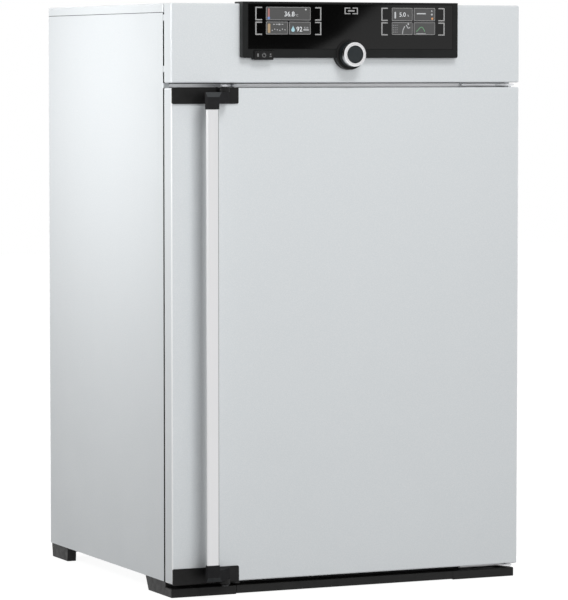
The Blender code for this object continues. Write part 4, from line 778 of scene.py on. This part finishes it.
# What the right screen shows: the gas share, a timer line, the plotted record and its curve.
marks = bmesh.new()
rounded_plate(marks, 0.0949, 0.0984, 1.1600, 1.1736, 0.0015, FACE_Y, MARK)
rounded_plate(marks, 0.1454, 0.1660, 1.1690, 1.1714, 0.0010, FACE_Y, MARK)
for x, z, radius in ((0.1795, 1.1756, 0.0015), (0.1797, 1.1686, 0.0020)):
    disc(marks, x, z, radius, FACE_Y, MARK, 12)
for row in range(4):
    for column in range(3):
        disc(marks, 0.0925 + column * 0.0042, 1.1326 + row * 0.0046, 0.0007, FACE_Y, MARK, 8)
disc(marks, 0.1262, 1.1490, 0.0018, FACE_Y, MARK, 12)
for ends in ((0.1132, 1.1296, 0.1142, 1.1368), (0.1142, 1.1368, 0.1180, 1.1440),
             (0.1216, 1.1466, 0.1256, 1.1404), (0.1256, 1.1404, 0.1300, 1.1420)):
    segment(marks, *ends, 0.0016, 0.0010)
flat_bar(marks, 0.1440, 0.1660, 1.1290, 1.1300, FACE_Y, MARK)
placed("right_screen_marks", marks, "cabinet", lit_pale)
marks = bmesh.new()
CURVE_STEPS = 12
shares = [step / CURVE_STEPS for step in range(CURVE_STEPS + 1)]
curve_points = [(0.1448 + 0.0188 * share, 1.1340 + 0.0090 * math.sin(math.pi * share ** 1.35))
                for share in shares]
for start, end in zip(curve_points, curve_points[1:]):
    segment(marks, *start, *end, 0.0013, 0.0006)
placed("record_curve", marks, "cabinet", lit_green)
marks = bmesh.new()
disc(marks, 0.1806, 1.1602, 0.0024, FACE_Y, MARK, 14)
placed("alarm_dot", marks, "cabinet", lit_orange)
lettering("gas_value", "5.0", 0.1056, 1.1640, 0.0088, lit_white)
lettering("gas_unit", "%", 0.1238, 1.1640, 0.0044, lit_pale)

# Touch keys: pale brackets printed on the glass beside the screens, the menu sign above the
# knob, and three small signs on the power key.
KEY_STROKE, MENU_STROKE = 0.0026, 0.0022
marks = bmesh.new()


def bracket(bm, x0, x1, z0, z1, opening, stroke):
    """A square bracket: one upright and two short arms that point to the opening."""
    upright = (x0, x0 + stroke) if opening > 0 else (x1 - stroke, x1)
    rounded_plate(bm, *upright, z0, z1, stroke * 0.3, GLASS_Y, MARK)
    for low, high in ((z0, z0 + stroke * 0.9), (z1 - stroke * 0.9, z1)):
        flat_bar(bm, x0 + stroke * 0.5, x1 - stroke * 0.2, low, high, GLASS_Y, MARK * 0.8)


for low, high in ((1.1550, 1.1818), (1.1259, 1.1524)):
    bracket(marks, -0.2141, -0.1987, low, high, 1, KEY_STROKE)
    bracket(marks, -0.0839, -0.0690, low, high, -1, KEY_STROKE)
    bracket(marks, 0.0652, 0.0802, low, high, 1, KEY_STROKE)
    bracket(marks, 0.1932, 0.2088, low, high, -1, KEY_STROKE)
bracket(marks, -0.0172, -0.0040, 1.1682, 1.1816, 1, MENU_STROKE)
bracket(marks, -0.0006, 0.0125, 1.1682, 1.1816, -1, MENU_STROKE)
rounded_plate(marks, -0.0098, 0.0052, 1.1735, 1.1764, 0.0012, GLASS_Y, MARK)
placed("touch_key_marks", marks, "cabinet", print_grey)


# Knob: a dark cap inside a bright chromed ring, on a black bezel that stands under the glass.
chrome = finish("satin_chrome", (0.80, 0.80, 0.81), 0.26, 1.0)
vary_roughness(chrome, noise(chrome, 900), 0.22, 0.30)
knob_cap = finish("soft_black_knob", (0.013, 0.017, 0.019), 0.35)
dull(knob_cap, 0.3)
vary_colour(knob_cap, noise(knob_cap, 60), (0.011, 0.015, 0.017), (0.015, 0.019, 0.021))
vary_roughness(knob_cap, noise(knob_cap, 400), 0.30, 0.42)
eased("knob_bezel", 0.0006, "cabinet", black_moulding)
eased("knob_body", 0.0004, "knob", knob_cap)
eased("knob_ring", 0.0010, "knob", chrome, 3)
eased("knob_spindle", 0, "knob_slider", plain_steel)

# Power key: a black key in the notch at the lower left, with three small signs.
eased("power_key", 0.0006, "power_key", black_moulding)
KEY_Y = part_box("power_key")[0].y
RING_X, RING_Z, RING_RADIUS = -0.1960, 1.0852, 0.0036
RING_START, RING_TURN, RING_DOTS = -230, 280, 10
signs = bmesh.new()
for step in range(RING_DOTS):
    angle = math.radians(RING_START + RING_TURN * step / (RING_DOTS - 1))
    disc(signs, RING_X + RING_RADIUS * math.cos(angle), RING_Z + RING_RADIUS * math.sin(angle),
         0.0009, KEY_Y, MARK, 8)
flat_bar(signs, -0.1966, -0.1954, 1.0862, 1.0902, KEY_Y, MARK)
flat_bar(signs, -0.2108, -0.2078, 1.0822, 1.0888, KEY_Y, MARK)
disc(signs, -0.1818, 1.0874, 0.0016, KEY_Y, MARK, 10)
flat_bar(signs, -0.1840, -0.1796, 1.0822, 1.0840, KEY_Y, MARK)
placed("power_key_signs", signs, "power_key", sign_grey)


# Bounds of the visual model, without the floor and the dark card.
low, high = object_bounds()
